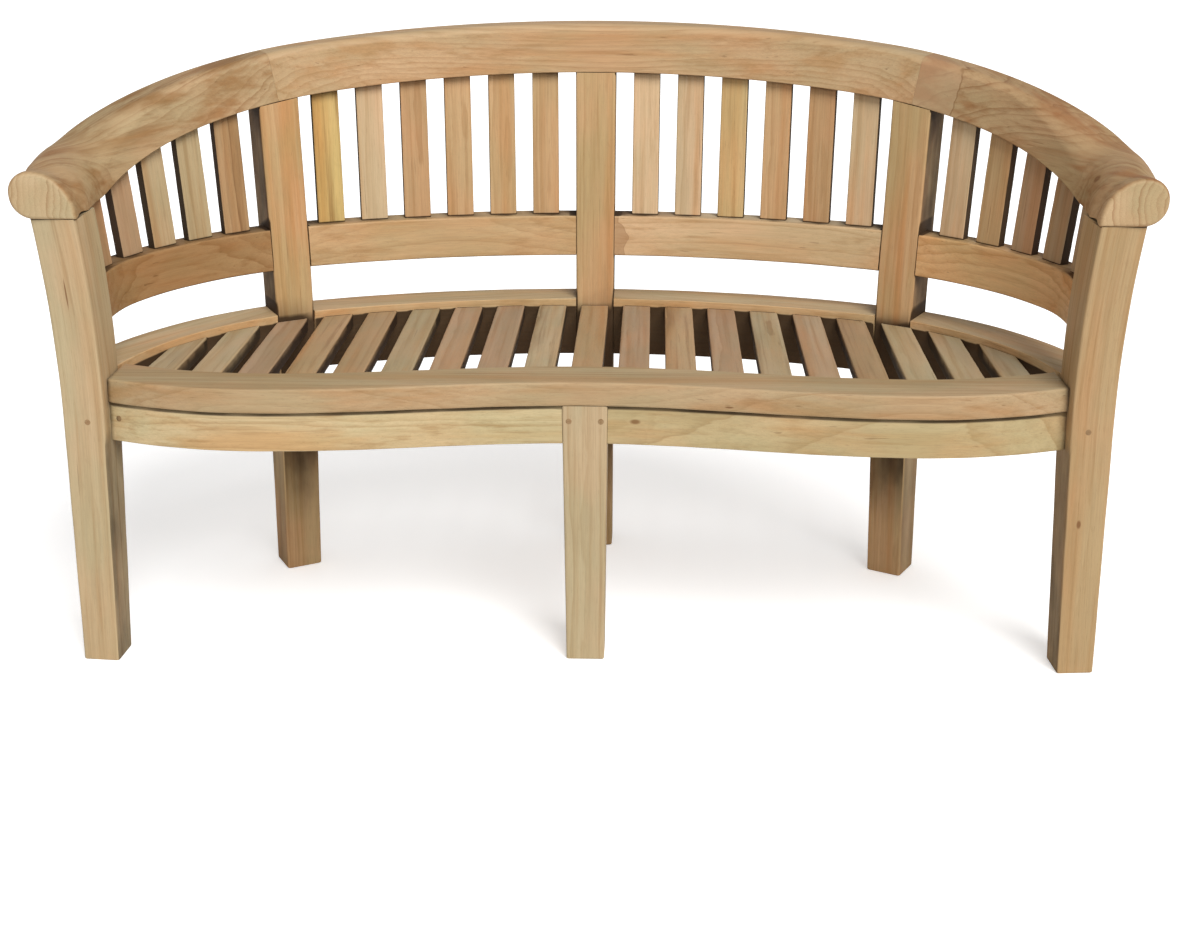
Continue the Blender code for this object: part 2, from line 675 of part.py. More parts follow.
def add_underside_cutter():
    """Makes the space of the top rail, lowered by the fit gap, which trims the tops of the legs."""
    rings = []
    last = math.pi / 2
    wide = TOP_RAIL_ARM_DEPTH + CUT_OVERRUN
    for k in range(-2 * TOP_RAIL_STEPS, 2 * TOP_RAIL_STEPS + 1):
        angle = last * k / (2 * TOP_RAIL_STEPS)
        low = top_rail_low(angle)
        lean = (low - BEND_HEIGHT) * lean_slope(angle)
        ring = []
        for u, v in ((-TOP_RAIL_BACK_DEPTH, -FIT_GAP), (wide, -FIT_GAP), (wide, TOP_RAIL_BACK_RISE),
                     (-TOP_RAIL_BACK_DEPTH, TOP_RAIL_BACK_RISE)):
            point = plan_point(angle, lean + u)
            ring.append((point.x, point.y, low + v))
        rings.append(ring)
    front = -TOP_RAIL_ARM_DEPTH - CENTRE_Y
    rings.insert(0, [(x, front, z) for x, y, z in rings[0]])
    rings.append([(x, front, z) for x, y, z in rings[-1]])
    return add_cutter("top_rail_space", loft_mesh("top_rail_space", rings))


def add_front_board():
    """Adds the kidney board along the front of the seat, grooved for the slats' tongues."""
    rings = []
    slit = TONGUE_LENGTH + FIT_GAP
    middle = SEAT_HEIGHT - SEAT_SLAT_FRONT_DROP - SEAT_SLAT_THICKNESS / 2
    half = TONGUE_THICKNESS / 2 + FIT_GAP
    end_x = front_leg_inner_x(BOARD_END_Y, BOARD_BOTTOM)
    back_end_x = front_leg_inner_x(BOARD_END_Y + BOARD_WIDTH, BOARD_BOTTOM)
    for k in range(BOARD_STEPS + 1):
        share = blend(-1, 1, k / BOARD_STEPS)
        x = share * end_x
        back_x = share * back_end_x
        front = board_wave(x) - CENTRE_Y
        back = min(board_wave(back_x) + BOARD_WIDTH, rail_face_y(back_x)) - CENTRE_Y
        rings.append([
            (x, front + BOARD_ARRIS, BOARD_BOTTOM), (back_x, back, BOARD_BOTTOM),
            (back_x, back, middle - half), (back_x, back - slit, middle - half),
            (back_x, back - slit, middle + half), (back_x, back, middle + half),
            (back_x, back, SEAT_HEIGHT), (x, front + BOARD_ARRIS, SEAT_HEIGHT),
            (x, front, SEAT_HEIGHT - BOARD_ARRIS), (x, front, BOARD_BOTTOM + BOARD_ARRIS)])
    add_piece("seat_front_board", loft_mesh("seat_front_board", rings), SEAT_TONE)


def add_front_apron(name, side):
    """Adds the curved apron under one half of the front board."""
    rings = []
    top = BOARD_BOTTOM - FIT_GAP
    bottom = top - APRON_HEIGHT
    half_steps = BOARD_STEPS // 2
    for k in range(half_steps + 1):
        ring = []
        for depth, height in ((0, bottom), (APRON_THICKNESS, bottom), (APRON_THICKNESS, top), (0, top)):
            share = height / BOARD_BOTTOM
            first = blend(CENTRE_LEG_FOOT_WIDTH, CENTRE_LEG_TOP_WIDTH, share) / 2 + FIT_GAP
            last = front_leg_inner_x(BOARD_END_Y + APRON_SETBACK + depth, height)
            x = blend(first, last, k / half_steps)
            ring.append((side * x, board_wave(x) + APRON_SETBACK + depth - CENTRE_Y, height))
        rings.append(ring)
    add_piece(name, loft_mesh(name, rings), RAIL_TONE)


def add_seat_rail(name, side, in_arm):
    """Adds a seat rail between two legs, grooved for the slats' tongues."""
    middle = SEAT_HEIGHT - SEAT_SLAT_BACK_DROP - SEAT_SLAT_THICKNESS / 2
    half = TONGUE_THICKNESS / 2 + FIT_GAP
    slit = TONGUE_LENGTH + FIT_GAP
    outline = [(0, SEAT_RAIL_BOTTOM), (SEAT_RAIL_DEPTH, SEAT_RAIL_BOTTOM), (SEAT_RAIL_DEPTH, SEAT_RAIL_TOP),
               (0, SEAT_RAIL_TOP), (0, middle + half), (slit, middle + half), (slit, middle - half),
               (0, middle - half)]
    steps = ARM_RAIL_STEPS if in_arm else RAIL_STEPS
    rings = sweep_rings(outline, bay_ends(side, in_arm), steps, True)
    add_piece(name, loft_mesh(name, rings), RAIL_TONE)


def leg_behind(centre_x):
    """Gives the angle of the back leg that a seat slat ends at, or None where it ends at a rail."""
    for angle in (-SIDE_LEG_ANGLE, 0, SIDE_LEG_ANGLE):
        reach = back_leg_width(SEAT_HEIGHT) / 2 * math.cos(angle)
        if abs(centre_x - plan_point(angle, seat_lean()).x) < reach:
            return angle
    return None


def add_seat_slat(name, centre_x):
    """Adds one seat slat with a tongue at each end, its ends cut to the board and the rail or leg."""
    front_top = SEAT_HEIGHT - SEAT_SLAT_FRONT_DROP
    back_top = SEAT_HEIGHT - SEAT_SLAT_BACK_DROP
    low = (SEAT_SLAT_THICKNESS - TONGUE_THICKNESS) / 2
    high = low + TONGUE_THICKNESS
    leg_angle = leg_behind(centre_x)
    rings = []
    for k in range(SLAT_END_STEPS + 1):
        x = centre_x + blend(-SEAT_SLAT_WIDTH, SEAT_SLAT_WIDTH, k / SLAT_END_STEPS) / 2
        front = board_wave(x) + BOARD_WIDTH + FIT_GAP - CENTRE_Y
        front_low = front_top - SEAT_SLAT_THICKNESS
        back_low = back_top - SEAT_SLAT_THICKNESS
        if leg_angle is None:
            back = rail_face_y(x) - CENTRE_Y
            tip = back + TONGUE_LENGTH
            ring = [(x, front, front_low), (x, back, back_low),
                    (x, back, back_low + low), (x, tip, back_low + low),
                    (x, tip, back_low + high), (x, back, back_low + high), (x, back, back_top)]
        else:
            curve = rail_face_y(x) - CENTRE_Y
            ring = [(x, front, front_low),
                    (x, min(leg_face_y(x, leg_angle, back_low), curve), back_low),
                    (x, min(leg_face_y(x, leg_angle, back_top), curve), back_top)]
        ring += [(x, front, front_top),
                 (x, front, front_low + high), (x, front - TONGUE_LENGTH, front_low + high),
                 (x, front - TONGUE_LENGTH, front_low + low), (x, front, front_low + low)]
        rings.append(ring)
    add_piece(name, loft_mesh(name, rings), SEAT_TONE)


def build_back():
    """Builds the legs, the rails of the back, the top rail and the back slats."""
    underside = add_underside_cutter()
    add_front_leg("front_leg_left", -1, underside)
    add_front_leg("front_leg_right", 1, underside)
    add_centre_front_leg()
    add_back_leg("back_leg_left", -SIDE_LEG_ANGLE, underside)
    add_back_leg("back_leg_centre", 0, underside)
    add_back_leg("back_leg_right", SIDE_LEG_ANGLE, underside)
    outline = rail_outline(LOWER_RAIL_DEPTH, LOWER_RAIL_BOTTOM, LOWER_RAIL_TOP, RAIL_ARRIS)
    mid_sockets = []
    for side, word in ((-1, "left"), (1, "right")):
        mid = mid_slat_angles(side)
        arm = arm_slat_angles(side)
        nearest = arm_slat_angle(side, FRONT_SLAT_SHARE)
        mid_socket = add_slat_sockets("mid_sockets_" + word, mid)
        arm_socket = add_slat_sockets("arm_sockets_" + word, arm)
        all_arm_sockets = add_slat_sockets("all_arm_sockets_" + word, arm + [nearest])
        mid_sockets.append(mid_socket)
        mid_name = "lower_rail_mid_" + word
        rings = sweep_rings(outline, bay_ends(side, False), RAIL_STEPS, False)
        mid_rail = add_piece(mid_name, loft_mesh(mid_name, rings), RAIL_TONE)
        cut(mid_rail, mid_socket)
        arm_name = "lower_rail_arm_" + word
        rings = sweep_rings(outline, bay_ends(side, True), ARM_RAIL_STEPS, False)
        arm_rail = add_piece(arm_name, loft_mesh(arm_name, rings), RAIL_TONE)
        cut(arm_rail, arm_socket)
        mesh, middle, tilt = slat_body("front_slat_" + word, nearest, 0)
        front_slat = add_cutter("front_slat_" + word, mesh)
        front_slat.location = middle
        front_slat.rotation_euler = (-tilt, 0, -nearest)
        fuse(arm_rail, front_slat)
        add_arm_top_rail("top_rail_arm_" + word, side, all_arm_sockets)
        for i, angle in enumerate(mid):
            add_back_slat("back_slat_mid_%s_%d" % (word, i + 1), angle)
        for i, angle in enumerate(arm):
            add_back_slat("back_slat_arm_%s_%d" % (word, i + 1), angle)
    add_centre_top_rail(mid_sockets)


def build_seat():
    """Builds the front board, the aprons, the seat rails and the seat slats."""
    add_front_board()
    for side, word in ((-1, "left"), (1, "right")):
        add_front_apron("front_apron_" + word, side)
        add_seat_rail("seat_rail_mid_" + word, side, False)
        add_seat_rail("seat_rail_arm_" + word, side, True)
    for i in range(SEAT_SLAT_COUNT):
        centre_x = (i - (SEAT_SLAT_COUNT - 1) / 2) * SEAT_SLAT_PITCH
        add_seat_slat("seat_slat_%02d" % (i + 1), centre_x)


PARTS, CUTTERS = clear_scene()
build_back()
build_seat()
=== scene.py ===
"""Looks of the teak garden bench: fine shapes, teak finishes, pegs, floor, light and camera.

Metres, +Z up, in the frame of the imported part: the bench stands on z = 0 and faces -Y. In the plan
the back follows a broad arc that turns into a tighter arc round each arm. Angles along it are
measured from +Y, positive towards +X, and offsets outwards from the inner faces of posts and rails.
Every vertex keeps its place in its board (along, across and through the grain) for the finishes.
"""
import logging
import math
from dataclasses import dataclass, field, replace
from enum import Enum
from typing import Callable, Iterable, Sequence

import bpy
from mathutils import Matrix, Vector
from mathutils.bvhtree import BVHTree


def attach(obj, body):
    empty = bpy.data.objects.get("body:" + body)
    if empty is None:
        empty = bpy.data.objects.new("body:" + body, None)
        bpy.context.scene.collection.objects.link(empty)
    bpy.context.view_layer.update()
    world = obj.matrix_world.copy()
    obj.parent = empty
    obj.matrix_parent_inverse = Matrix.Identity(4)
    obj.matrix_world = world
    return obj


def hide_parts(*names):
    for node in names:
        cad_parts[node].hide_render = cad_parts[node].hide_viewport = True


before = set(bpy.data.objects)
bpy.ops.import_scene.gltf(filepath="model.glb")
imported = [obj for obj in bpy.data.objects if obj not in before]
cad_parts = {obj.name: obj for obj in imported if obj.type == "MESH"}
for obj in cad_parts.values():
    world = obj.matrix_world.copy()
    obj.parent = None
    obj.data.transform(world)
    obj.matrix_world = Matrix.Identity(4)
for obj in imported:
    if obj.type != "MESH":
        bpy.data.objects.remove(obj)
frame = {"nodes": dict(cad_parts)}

LOG = logging.getLogger("teak_bench")
GRAIN = "grain"
ARRIS = "arris"
# Attribute of painted shade: darkening in slots, in corners and under the seat, where shade falls
PAINTED_SHADE = "grime"
END_GRAIN = "end_grain"
GAP = 0.0002
SHARP_ANGLE = math.radians(50)
FIRST_SHARES = (0.0, 0.012, 0.035)
MIDDLE_SHARES = (0.08, 0.92)
LAST_SHARES = (0.965, 0.988, 1.0)
TOP_SHARES = (0.983, 0.994, 1.0)
TONE_VARY = 0.07
TONE_TURN = 2.4
WHITE = (1, 1, 1, 1)

Flat = tuple[float, float]
Point = tuple[float, float, float]
Colour = tuple[float, float, float]
Socket = bpy.types.NodeSocket
Tree = bpy.types.NodeTree
Value = Socket | float | Sequence[float] | None


class Side(Enum):
    """A half of the bench, as seen from the front."""

    LEFT = -1
    RIGHT = 1

    @property
    def word(self) -> str:
        """Gives the word that piece names use."""
        return self.name.lower()


class Slot(Enum):
    """The record's material slots."""

    LEG = "leg_teak"
    TOP_RAIL = "top_rail_teak"
    RAIL = "rail_teak"
    BACK_SLAT = "back_slat_teak"
    SEAT_SLAT = "seat_slat_teak"
    BOARD = "board_teak"


def smooth_share(value: float, start: float, end: float) -> float:
    """Rises smoothly from 0 at start to 1 at end."""
    share = min(max((value - start) / (end - start), 0.0), 1.0)
    return share * share * (3 - 2 * share)


def blend(first: float, second: float, share: float) -> float:
    """Mixes two values by a share from 0 to 1."""
    return first + (second - first) * share


def close_ends(steps: int) -> list[float]:
    """Gives shares from 0 to 1 that are closer together at both ends."""
    middle = [blend(*MIDDLE_SHARES, i / steps) for i in range(steps + 1)]
    return [*FIRST_SHARES, *middle, *LAST_SHARES]


def close_top(low: float, high: float, steps: int) -> list[Flat]:
    """Gives even heights from low to high, closer together just below high, with no inset."""
    shares = [*(i / steps for i in range(steps)), *TOP_SHARES]
    return [(blend(low, high, share), 0.0) for share in shares]


def soft_ramp(distance: float, ease: float) -> float:
    """Gives a ramp that starts with a parabola.

    Args:
        distance: Distance past the parabola's middle.
        ease: Half the parabola's length.

    Returns:
        Zero before the parabola, and the distance after it.
    """
    if distance <= -ease:
        return 0.0
    if distance >= ease:
        return distance
    return (distance + ease) ** 2 / (4 * ease)


@dataclass(frozen=True)
class BackCurve:
    """Plan curve of the back and the arms, and how their faces lean above the bend."""

    back_radius: float = 1.165
    arm_radius: float = 0.396
    join_angle: float = math.radians(20.4)
    inner_depth: float = 0.440
    bend_height: float = 0.307
    bend_ease: float = 0.050
    back_recline: float = math.radians(8.3)
    arm_recline: float = math.radians(9.6)
    end_recline: float = math.radians(4.2)
    recline_from: float = math.radians(32.0)
    recline_full: float = math.radians(66.0)
    end_full: float = math.radians(86.0)
    centre_y: float = 0.27766

    @property
    def arm_x(self) -> float:
        """Gives the x of the arm's centre."""
        return (self.back_radius - self.arm_radius) * math.sin(self.join_angle)

    @property
    def arm_y(self) -> float:
        """Gives the y of the arm's centre."""
        return self.back_y + (self.back_radius - self.arm_radius) * math.cos(self.join_angle)

    @property
    def back_y(self) -> float:
        """Gives the y of the broad arc's centre."""
        return self.inner_depth - self.back_radius - self.centre_y

    def point(self, angle: float, offset: float) -> Flat:
        """Gives a plan point.

        Args:
            angle: Its angle round the back.
            offset: Its distance outwards from the inner faces.

        Returns:
            Its x and y.
        """
        turn = abs(angle)
        side = -1 if angle < 0 else 1
        if turn <= self.join_angle:
            radius = self.back_radius + offset
            return side * radius * math.sin(turn), self.back_y + radius * math.cos(turn)
        radius = self.arm_radius + offset
        x = self.arm_x + radius * math.sin(turn)
        return side * x, self.arm_y + radius * math.cos(turn)

    def angle_at(self, x: float, y: float) -> float:
        """Gives the angle round the back of a plan point.

        Args:
            x: Its x.
            y: Its y.

        Returns:
            The angle, at most square to the arm's end.
        """
        turn = math.atan2(abs(x), y - self.back_y)
        if turn > self.join_angle:
            turn = math.atan2(abs(x) - self.arm_x, y - self.arm_y)
        return math.copysign(min(turn, math.pi / 2), x)

    def slope(self, angle: float) -> float:
        """Gives how fast the faces move outwards above the bend.

        Args:
            angle: Angle round the back.

        Returns:
            Offset gained for each unit of height.
        """
        full = smooth_share(abs(angle), self.recline_from, self.recline_full)
        end = smooth_share(abs(angle), self.recline_full, self.end_full)
        recline = blend(self.back_recline, self.arm_recline, full)
        return math.tan(blend(recline, self.end_recline, end))

    def lean(self, angle: float, height: float) -> float:
        """Gives the offset of the inner faces at an angle and a height."""
        return soft_ramp(height - self.bend_height, self.bend_ease) * self.slope(angle)


CURVE = BackCurve()


@dataclass(frozen=True)
class Heights:
    """Levels that several sub-assemblies share."""

    seat: float = 0.4175
    slat_thickness: float = 0.022
    slat_drop: float = 0.0095
    board_thickness: float = 0.035
    seat_rail_top: float = 0.4185
    seat_rail_height: float = 0.092
    lower_rail_bottom: float = 0.487
    lower_rail_top: float = 0.550
    rail_back: float = 0.777
    rail_arm: float = 0.650
    rail_crown: float = 0.008
    level_y: float = 0.160
    level_ease: float = 0.025

    @property
    def board_bottom(self) -> float:
        """Gives the height of the front board's lower face."""
        return self.seat - self.board_thickness

    @property
    def seat_rail_bottom(self) -> float:
        """Gives the height of the seat rails' lower faces."""
        return self.seat_rail_top - self.seat_rail_height

    def rail_low(self, angle: float) -> float:
        """Gives the height of the top rail's lower edge.

        Args:
            angle: Angle round the back.

        Returns:
            The height, level in the arms and highest at the back.
        """
        rise = self.rail_back - CURVE.bend_height
        level_y = self.level_y - CURVE.centre_y
        run = soft_ramp(CURVE.point(angle, rise * CURVE.slope(angle))[1] - level_y, self.level_ease)
        share = run / (CURVE.point(0, rise * CURVE.slope(0))[1] - level_y)
        crown = 4 * share * (1 - share)
        return self.rail_arm + (self.rail_back - self.rail_arm) * share + self.rail_crown * crown

    def under_rail(self, x: float, y: float) -> float:
        """Gives the height at which a post or slat meets the top rail above a plan point."""
        return self.rail_low(CURVE.angle_at(x, y)) - GAP


LEVELS = Heights()


@dataclass(frozen=True)
class Ease:
    """Hand-eased arrises: their radius varies a little along a board."""

    radius: float
    vary: float = 0.22
    pitch: float = 0.31

    def at(self, along: float, seed: int) -> float:
        """Gives the radius at a place.

        Args:
            along: Distance along the board.
            seed: Number that sets the board apart from others.

        Returns:
            The radius.
        """
        turn = math.tau * along / self.pitch
        wave = math.sin(turn + seed) + math.sin(turn * math.e + 2 * seed)
        return self.radius * (1 + self.vary * wave / 2)


@dataclass(frozen=True)
class Mark:
    """A point of a section: its place, and how much it lies on an arris, a side face or an end."""

    u: float
    v: float
    arris: float = 0.0
    side: float = 0.0
    end: float = 0.0


def corner(centre: Flat, radii: Flat, start: float, steps: int, hold: float = 0.0) -> list[Mark]:
    """Gives a quarter ellipse of a section.

    Args:
        centre: Centre of the ellipse.
        radii: Its two radii.
        start: Angle at which it starts, in degrees, anticlockwise.
        steps: Number of facets.
        hold: Length of the plain strip kept beside each end of the round.

    Returns:
        The points, whose arris share is highest at the middle of the round.
    """
    marks = []
    for i in range(steps + 1):
        turn = math.radians(start + 90 * i / steps)
        u = centre[0] + radii[0] * math.cos(turn)
        v = centre[1] + radii[1] * math.sin(turn)
        marks.append(Mark(u, v, math.sin(math.pi * i / steps), math.cos(turn) ** 2))
    if not hold:
        return marks
    before, after = [
        replace(mark, u=mark.u + hold * math.cos(turn), v=mark.v + hold * math.sin(turn), arris=0.0)
        for mark, turn in ((marks[0], math.radians(start - 90)), (marks[-1], math.radians(start + 180)))]
    return [before, *marks, after]


def rounded_section(low: Flat, high: Flat, radii: Sequence[float], steps: int = 4,
                    hold: float = 0.0025) -> list[Mark]:
    """Gives a rectangular section with rounded corners.

    Args:
        low: Its lowest corner.
        high: Its highest corner.
        radii: Radius at each corner, anticlockwise from the lowest.
        steps: Number of facets of each round.
        hold: Length of the plain strip kept beside each round.

    Returns:
        The points, anticlockwise.
    """
    places = ((low[0], low[1], 1, 1), (high[0], low[1], -1, 1), (high[0], high[1], -1, -1),
              (low[0], high[1], 1, -1))
    marks = []
    for (u, v, in_u, in_v), radius, start in zip(places, radii, (180, 270, 0, 90)):
        marks += corner((u + in_u * radius, v + in_v * radius), (radius, radius), start, steps, hold)
    return marks


@dataclass(frozen=True)
class Plank:
    """The straight plank that a curved piece is sawn from."""

    origin: Point
    turn: float = 0.0

    @classmethod
    def between(cls, start: Flat, end: Flat, height: float) -> "Plank":
        """Gives the plank that runs from one plan point to another."""
        return cls((*start, height), math.atan2(end[1] - start[1], end[0] - start[0]))

    def place(self, point: Point) -> Point:
        """Gives a point's place along, across and through the plank."""
        x, y = point[0] - self.origin[0], point[1] - self.origin[1]
        return (x * math.cos(self.turn) + y * math.sin(self.turn),
                y * math.cos(self.turn) - x * math.sin(self.turn), point[2] - self.origin[2])


def signed_volume(faces: Iterable[Sequence[int]], points: Sequence[Point]) -> float:
    """Gives the volume that some faces enclose.

    Args:
        faces: The faces, as places in the list of points.
        points: The points.

    Returns:
        The volume, negative where the faces look inwards.
    """
    total = 0.0
    for face in faces:
        first = Vector(points[face[0]])
        for second, third in zip(face[1:], face[2:]):
            total += first.dot(Vector(points[second]).cross(Vector(points[third])))
    return total / 6


@dataclass
class Board:
    """One wooden piece in the making: rings of points with their marks and places in the grain."""

    plank: Plank | None = None
    side_shade: float = 0.0
    ring_size: int = 0
    points: list[Point] = field(default_factory=list)
    grain: list[Point] = field(default_factory=list)
    marks: list[Mark] = field(default_factory=list)

    def add(self, ring: Sequence[Point], marks: Sequence[Mark], along: float = 0.0) -> None:
        """Adds a ring.

        Args:
            ring: Its points.
            marks: Its marks.
            along: Its distance along a straight board; a board with a plank measures it itself.
        """
        self.ring_size = len(ring)
        self.points += ring
        self.marks += marks
        if self.plank:
            self.grain += [self.plank.place(point) for point in ring]
        else:
            self.grain += [(along, mark.u, mark.v) for mark in marks]

    def faces(self) -> list[tuple[int, ...]]:
        """Gives the faces between the rings and at both ends, looking outwards.

        Returns:
            The faces, as places in the list of points.
        """
        size, total = self.ring_size, len(self.points)
        faces = []
        for low in range(0, total - size, size):
            for i in range(size):
                j = (i + 1) % size
                faces.append((low + i, low + j, low + size + j, low + size + i))
        faces += [tuple(reversed(range(size))), tuple(range(total - size, total))]
        if signed_volume(faces, self.points) < 0:
            faces = [tuple(reversed(face)) for face in faces]
        return faces

    def mesh(self, name: str) -> bpy.types.Mesh:
        """Makes the closed mesh with its grain, arris, painted shade and end grain attributes.

        Args:
            name: Name of the mesh.

        Returns:
            The mesh.
        """
        mesh = bpy.data.meshes.new(name)
        mesh.from_pydata(self.points, [], self.faces())
        grain = mesh.attributes.new(GRAIN, 'FLOAT_VECTOR', 'POINT')
        grain.data.foreach_set("vector", [part for place in self.grain for part in place])
        # The side share times the board's side shade starts the painted shade on side faces
        for label, shares in ((ARRIS, [mark.arris for mark in self.marks]),
                              (PAINTED_SHADE, [mark.side * self.side_shade for mark in self.marks]),
                              (END_GRAIN, [mark.end for mark in self.marks])):
            layer = mesh.attributes.new(label, 'FLOAT', 'POINT')
            layer.data.foreach_set("value", shares)
        mesh.shade_smooth()
        mesh.set_sharp_from_angle(angle=SHARP_ANGLE)
        return mesh


class Pattern(Enum):
    """Noises stretched along the grain: scale along and across it, detail and roughness."""

    DRIFT = (1.6, 5.0, 2.0, 0.5)
    RIPPLE = (6.0, 45.0, 3.0, 0.5)
    BANDS = (0.9, 19.0, 2.0, 0.5)
    STREAKS = (1.3, 30.0, 3.0, 0.58)
    LINES = (3.2, 120.0, 3.0, 0.58)
    FIBRES = (14.0, 620.0, 3.0, 0.58)
    PORES = (55.0, 1900.0, 1.0, 0.5)
    CRACKS = (7.0, 260.0, 2.0, 0.5)
    BLOTCHES = (6.0, 15.0, 3.0, 0.55)
    RUBS = (12.0, 45.0, 3.0, 0.5)
    DIRT = (9.0, 22.0, 4.0, 0.5)
    RAGGED = (25.0, 25.0, 2.0, 0.5)


@dataclass
class Wiring:
    """Adds nodes to a tree and links them."""

    tree: Tree

    def set(self, socket: Socket, value: Value) -> None:
        """Links a socket to another, or gives it a plain value.

        Args:
            socket: The socket.
            value: What it gets; None leaves it as it is.
        """
        if isinstance(value, Socket):
            self.tree.links.new(value, socket)
        elif value is not None:
            socket.default_value = value

    def node(self, kind: str, *values: Value, **settings: object) -> bpy.types.Node:
        """Adds a node.

        Args:
            kind: Its kind, without the prefix that all kinds share.
            values: What its first sockets get, in order.
            settings: Its properties.

        Returns:
            The node.
        """
        node = self.tree.nodes.new('ShaderNode' + kind)
        for label, setting in settings.items():
            setattr(node, label, setting)
        for socket, value in zip(node.inputs, values):
            self.set(socket, value)
        return node

    def feed(self, node: bpy.types.Node, **values: Value) -> bpy.types.Node:
        """Gives values to sockets by name.

        Args:
            node: The node that has the sockets.
            values: Values for its sockets, whose names have underscores for spaces.

        Returns:
            The same node.
        """
        for label, value in values.items():
            self.set(node.inputs[label.replace("_", " ")], value)
        return node

    def maths(self, operation: str, *values: Value) -> Socket:
        """Adds a maths node."""
        return self.node('Math', *values, operation=operation).outputs[0]

    def vector(self, operation: str, *values: Value) -> Socket:
        """Adds a vector maths node."""
        outputs = self.node('VectorMath', *values, operation=operation).outputs
        return outputs[1] if operation == 'LENGTH' else outputs[0]

    def noise(self, place: Value, pattern: Pattern) -> Socket:
        """Adds a noise texture.

        Args:
            place: Grain coordinates.
            pattern: The noise.

        Returns:
            Its value.
        """
        along, across, detail, roughness = pattern.value
        stretched = self.vector('MULTIPLY', place, (along, across, across))
        return self.feed(self.node('TexNoise'), Vector=stretched, Scale=1.0, Detail=detail,
                         Roughness=roughness).outputs[0]

    def spread(self, value: Value, low: float, high: float, to_low: float = 0.0,
               to_high: float = 1.0) -> Socket:
        """Maps a value smoothly from one range to another.

        Args:
            value: The value.
            low: Start of its range.
            high: End of its range.
            to_low: Start of the new range.
            to_high: End of the new range.

        Returns:
            The new value.
        """
        return self.feed(self.node('MapRange', interpolation_type='SMOOTHSTEP'), Value=value,
                         From_Min=low, From_Max=high, To_Min=to_low, To_Max=to_high).outputs[0]

    def mix(self, share: Value, first: Value, second: Value, blend_type: str = 'MIX') -> Socket:
        """Mixes two colours.

        Args:
            share: How much of the second shows.
            first: The first colour.
            second: The second colour.
            blend_type: How they mix.

        Returns:
            The mixed colour.
        """
        node = self.node('Mix', share, data_type='RGBA', blend_type=blend_type)
        for i, colour in ((6, first), (7, second)):
            self.set(node.inputs[i], (*colour, 1) if isinstance(colour, tuple) else colour)
        return node.outputs[2]

    def attribute(self, name: str, output: str = "Fac") -> Socket:
        """Reads an attribute of the mesh."""
        return self.node('Attribute', attribute_name=name).outputs[output]


def group(name: str, inputs: dict[str, float | None],
          outputs: Sequence[str]) -> tuple[Wiring, bpy.types.Node, bpy.types.Node]:
    """Makes a shader node group.

    Args:
        name: Its name.
        inputs: Its inputs, with a default value, or None for a vector.
        outputs: Its outputs, all of them numbers.

    Returns:
        Its wiring, its input node and its output node.
    """
    tree = bpy.data.node_groups.new(name, 'ShaderNodeTree')
    for label, value in inputs.items():
        kind = 'NodeSocketVector' if value is None else 'NodeSocketFloat'
        socket = tree.interface.new_socket(label, in_out='INPUT', socket_type=kind)
        if value is not None:
            socket.default_value = value
    for label in outputs:
        tree.interface.new_socket(label, in_out='OUTPUT', socket_type='NodeSocketFloat')
    return Wiring(tree), tree.nodes.new('NodeGroupInput'), tree.nodes.new('NodeGroupOutput')


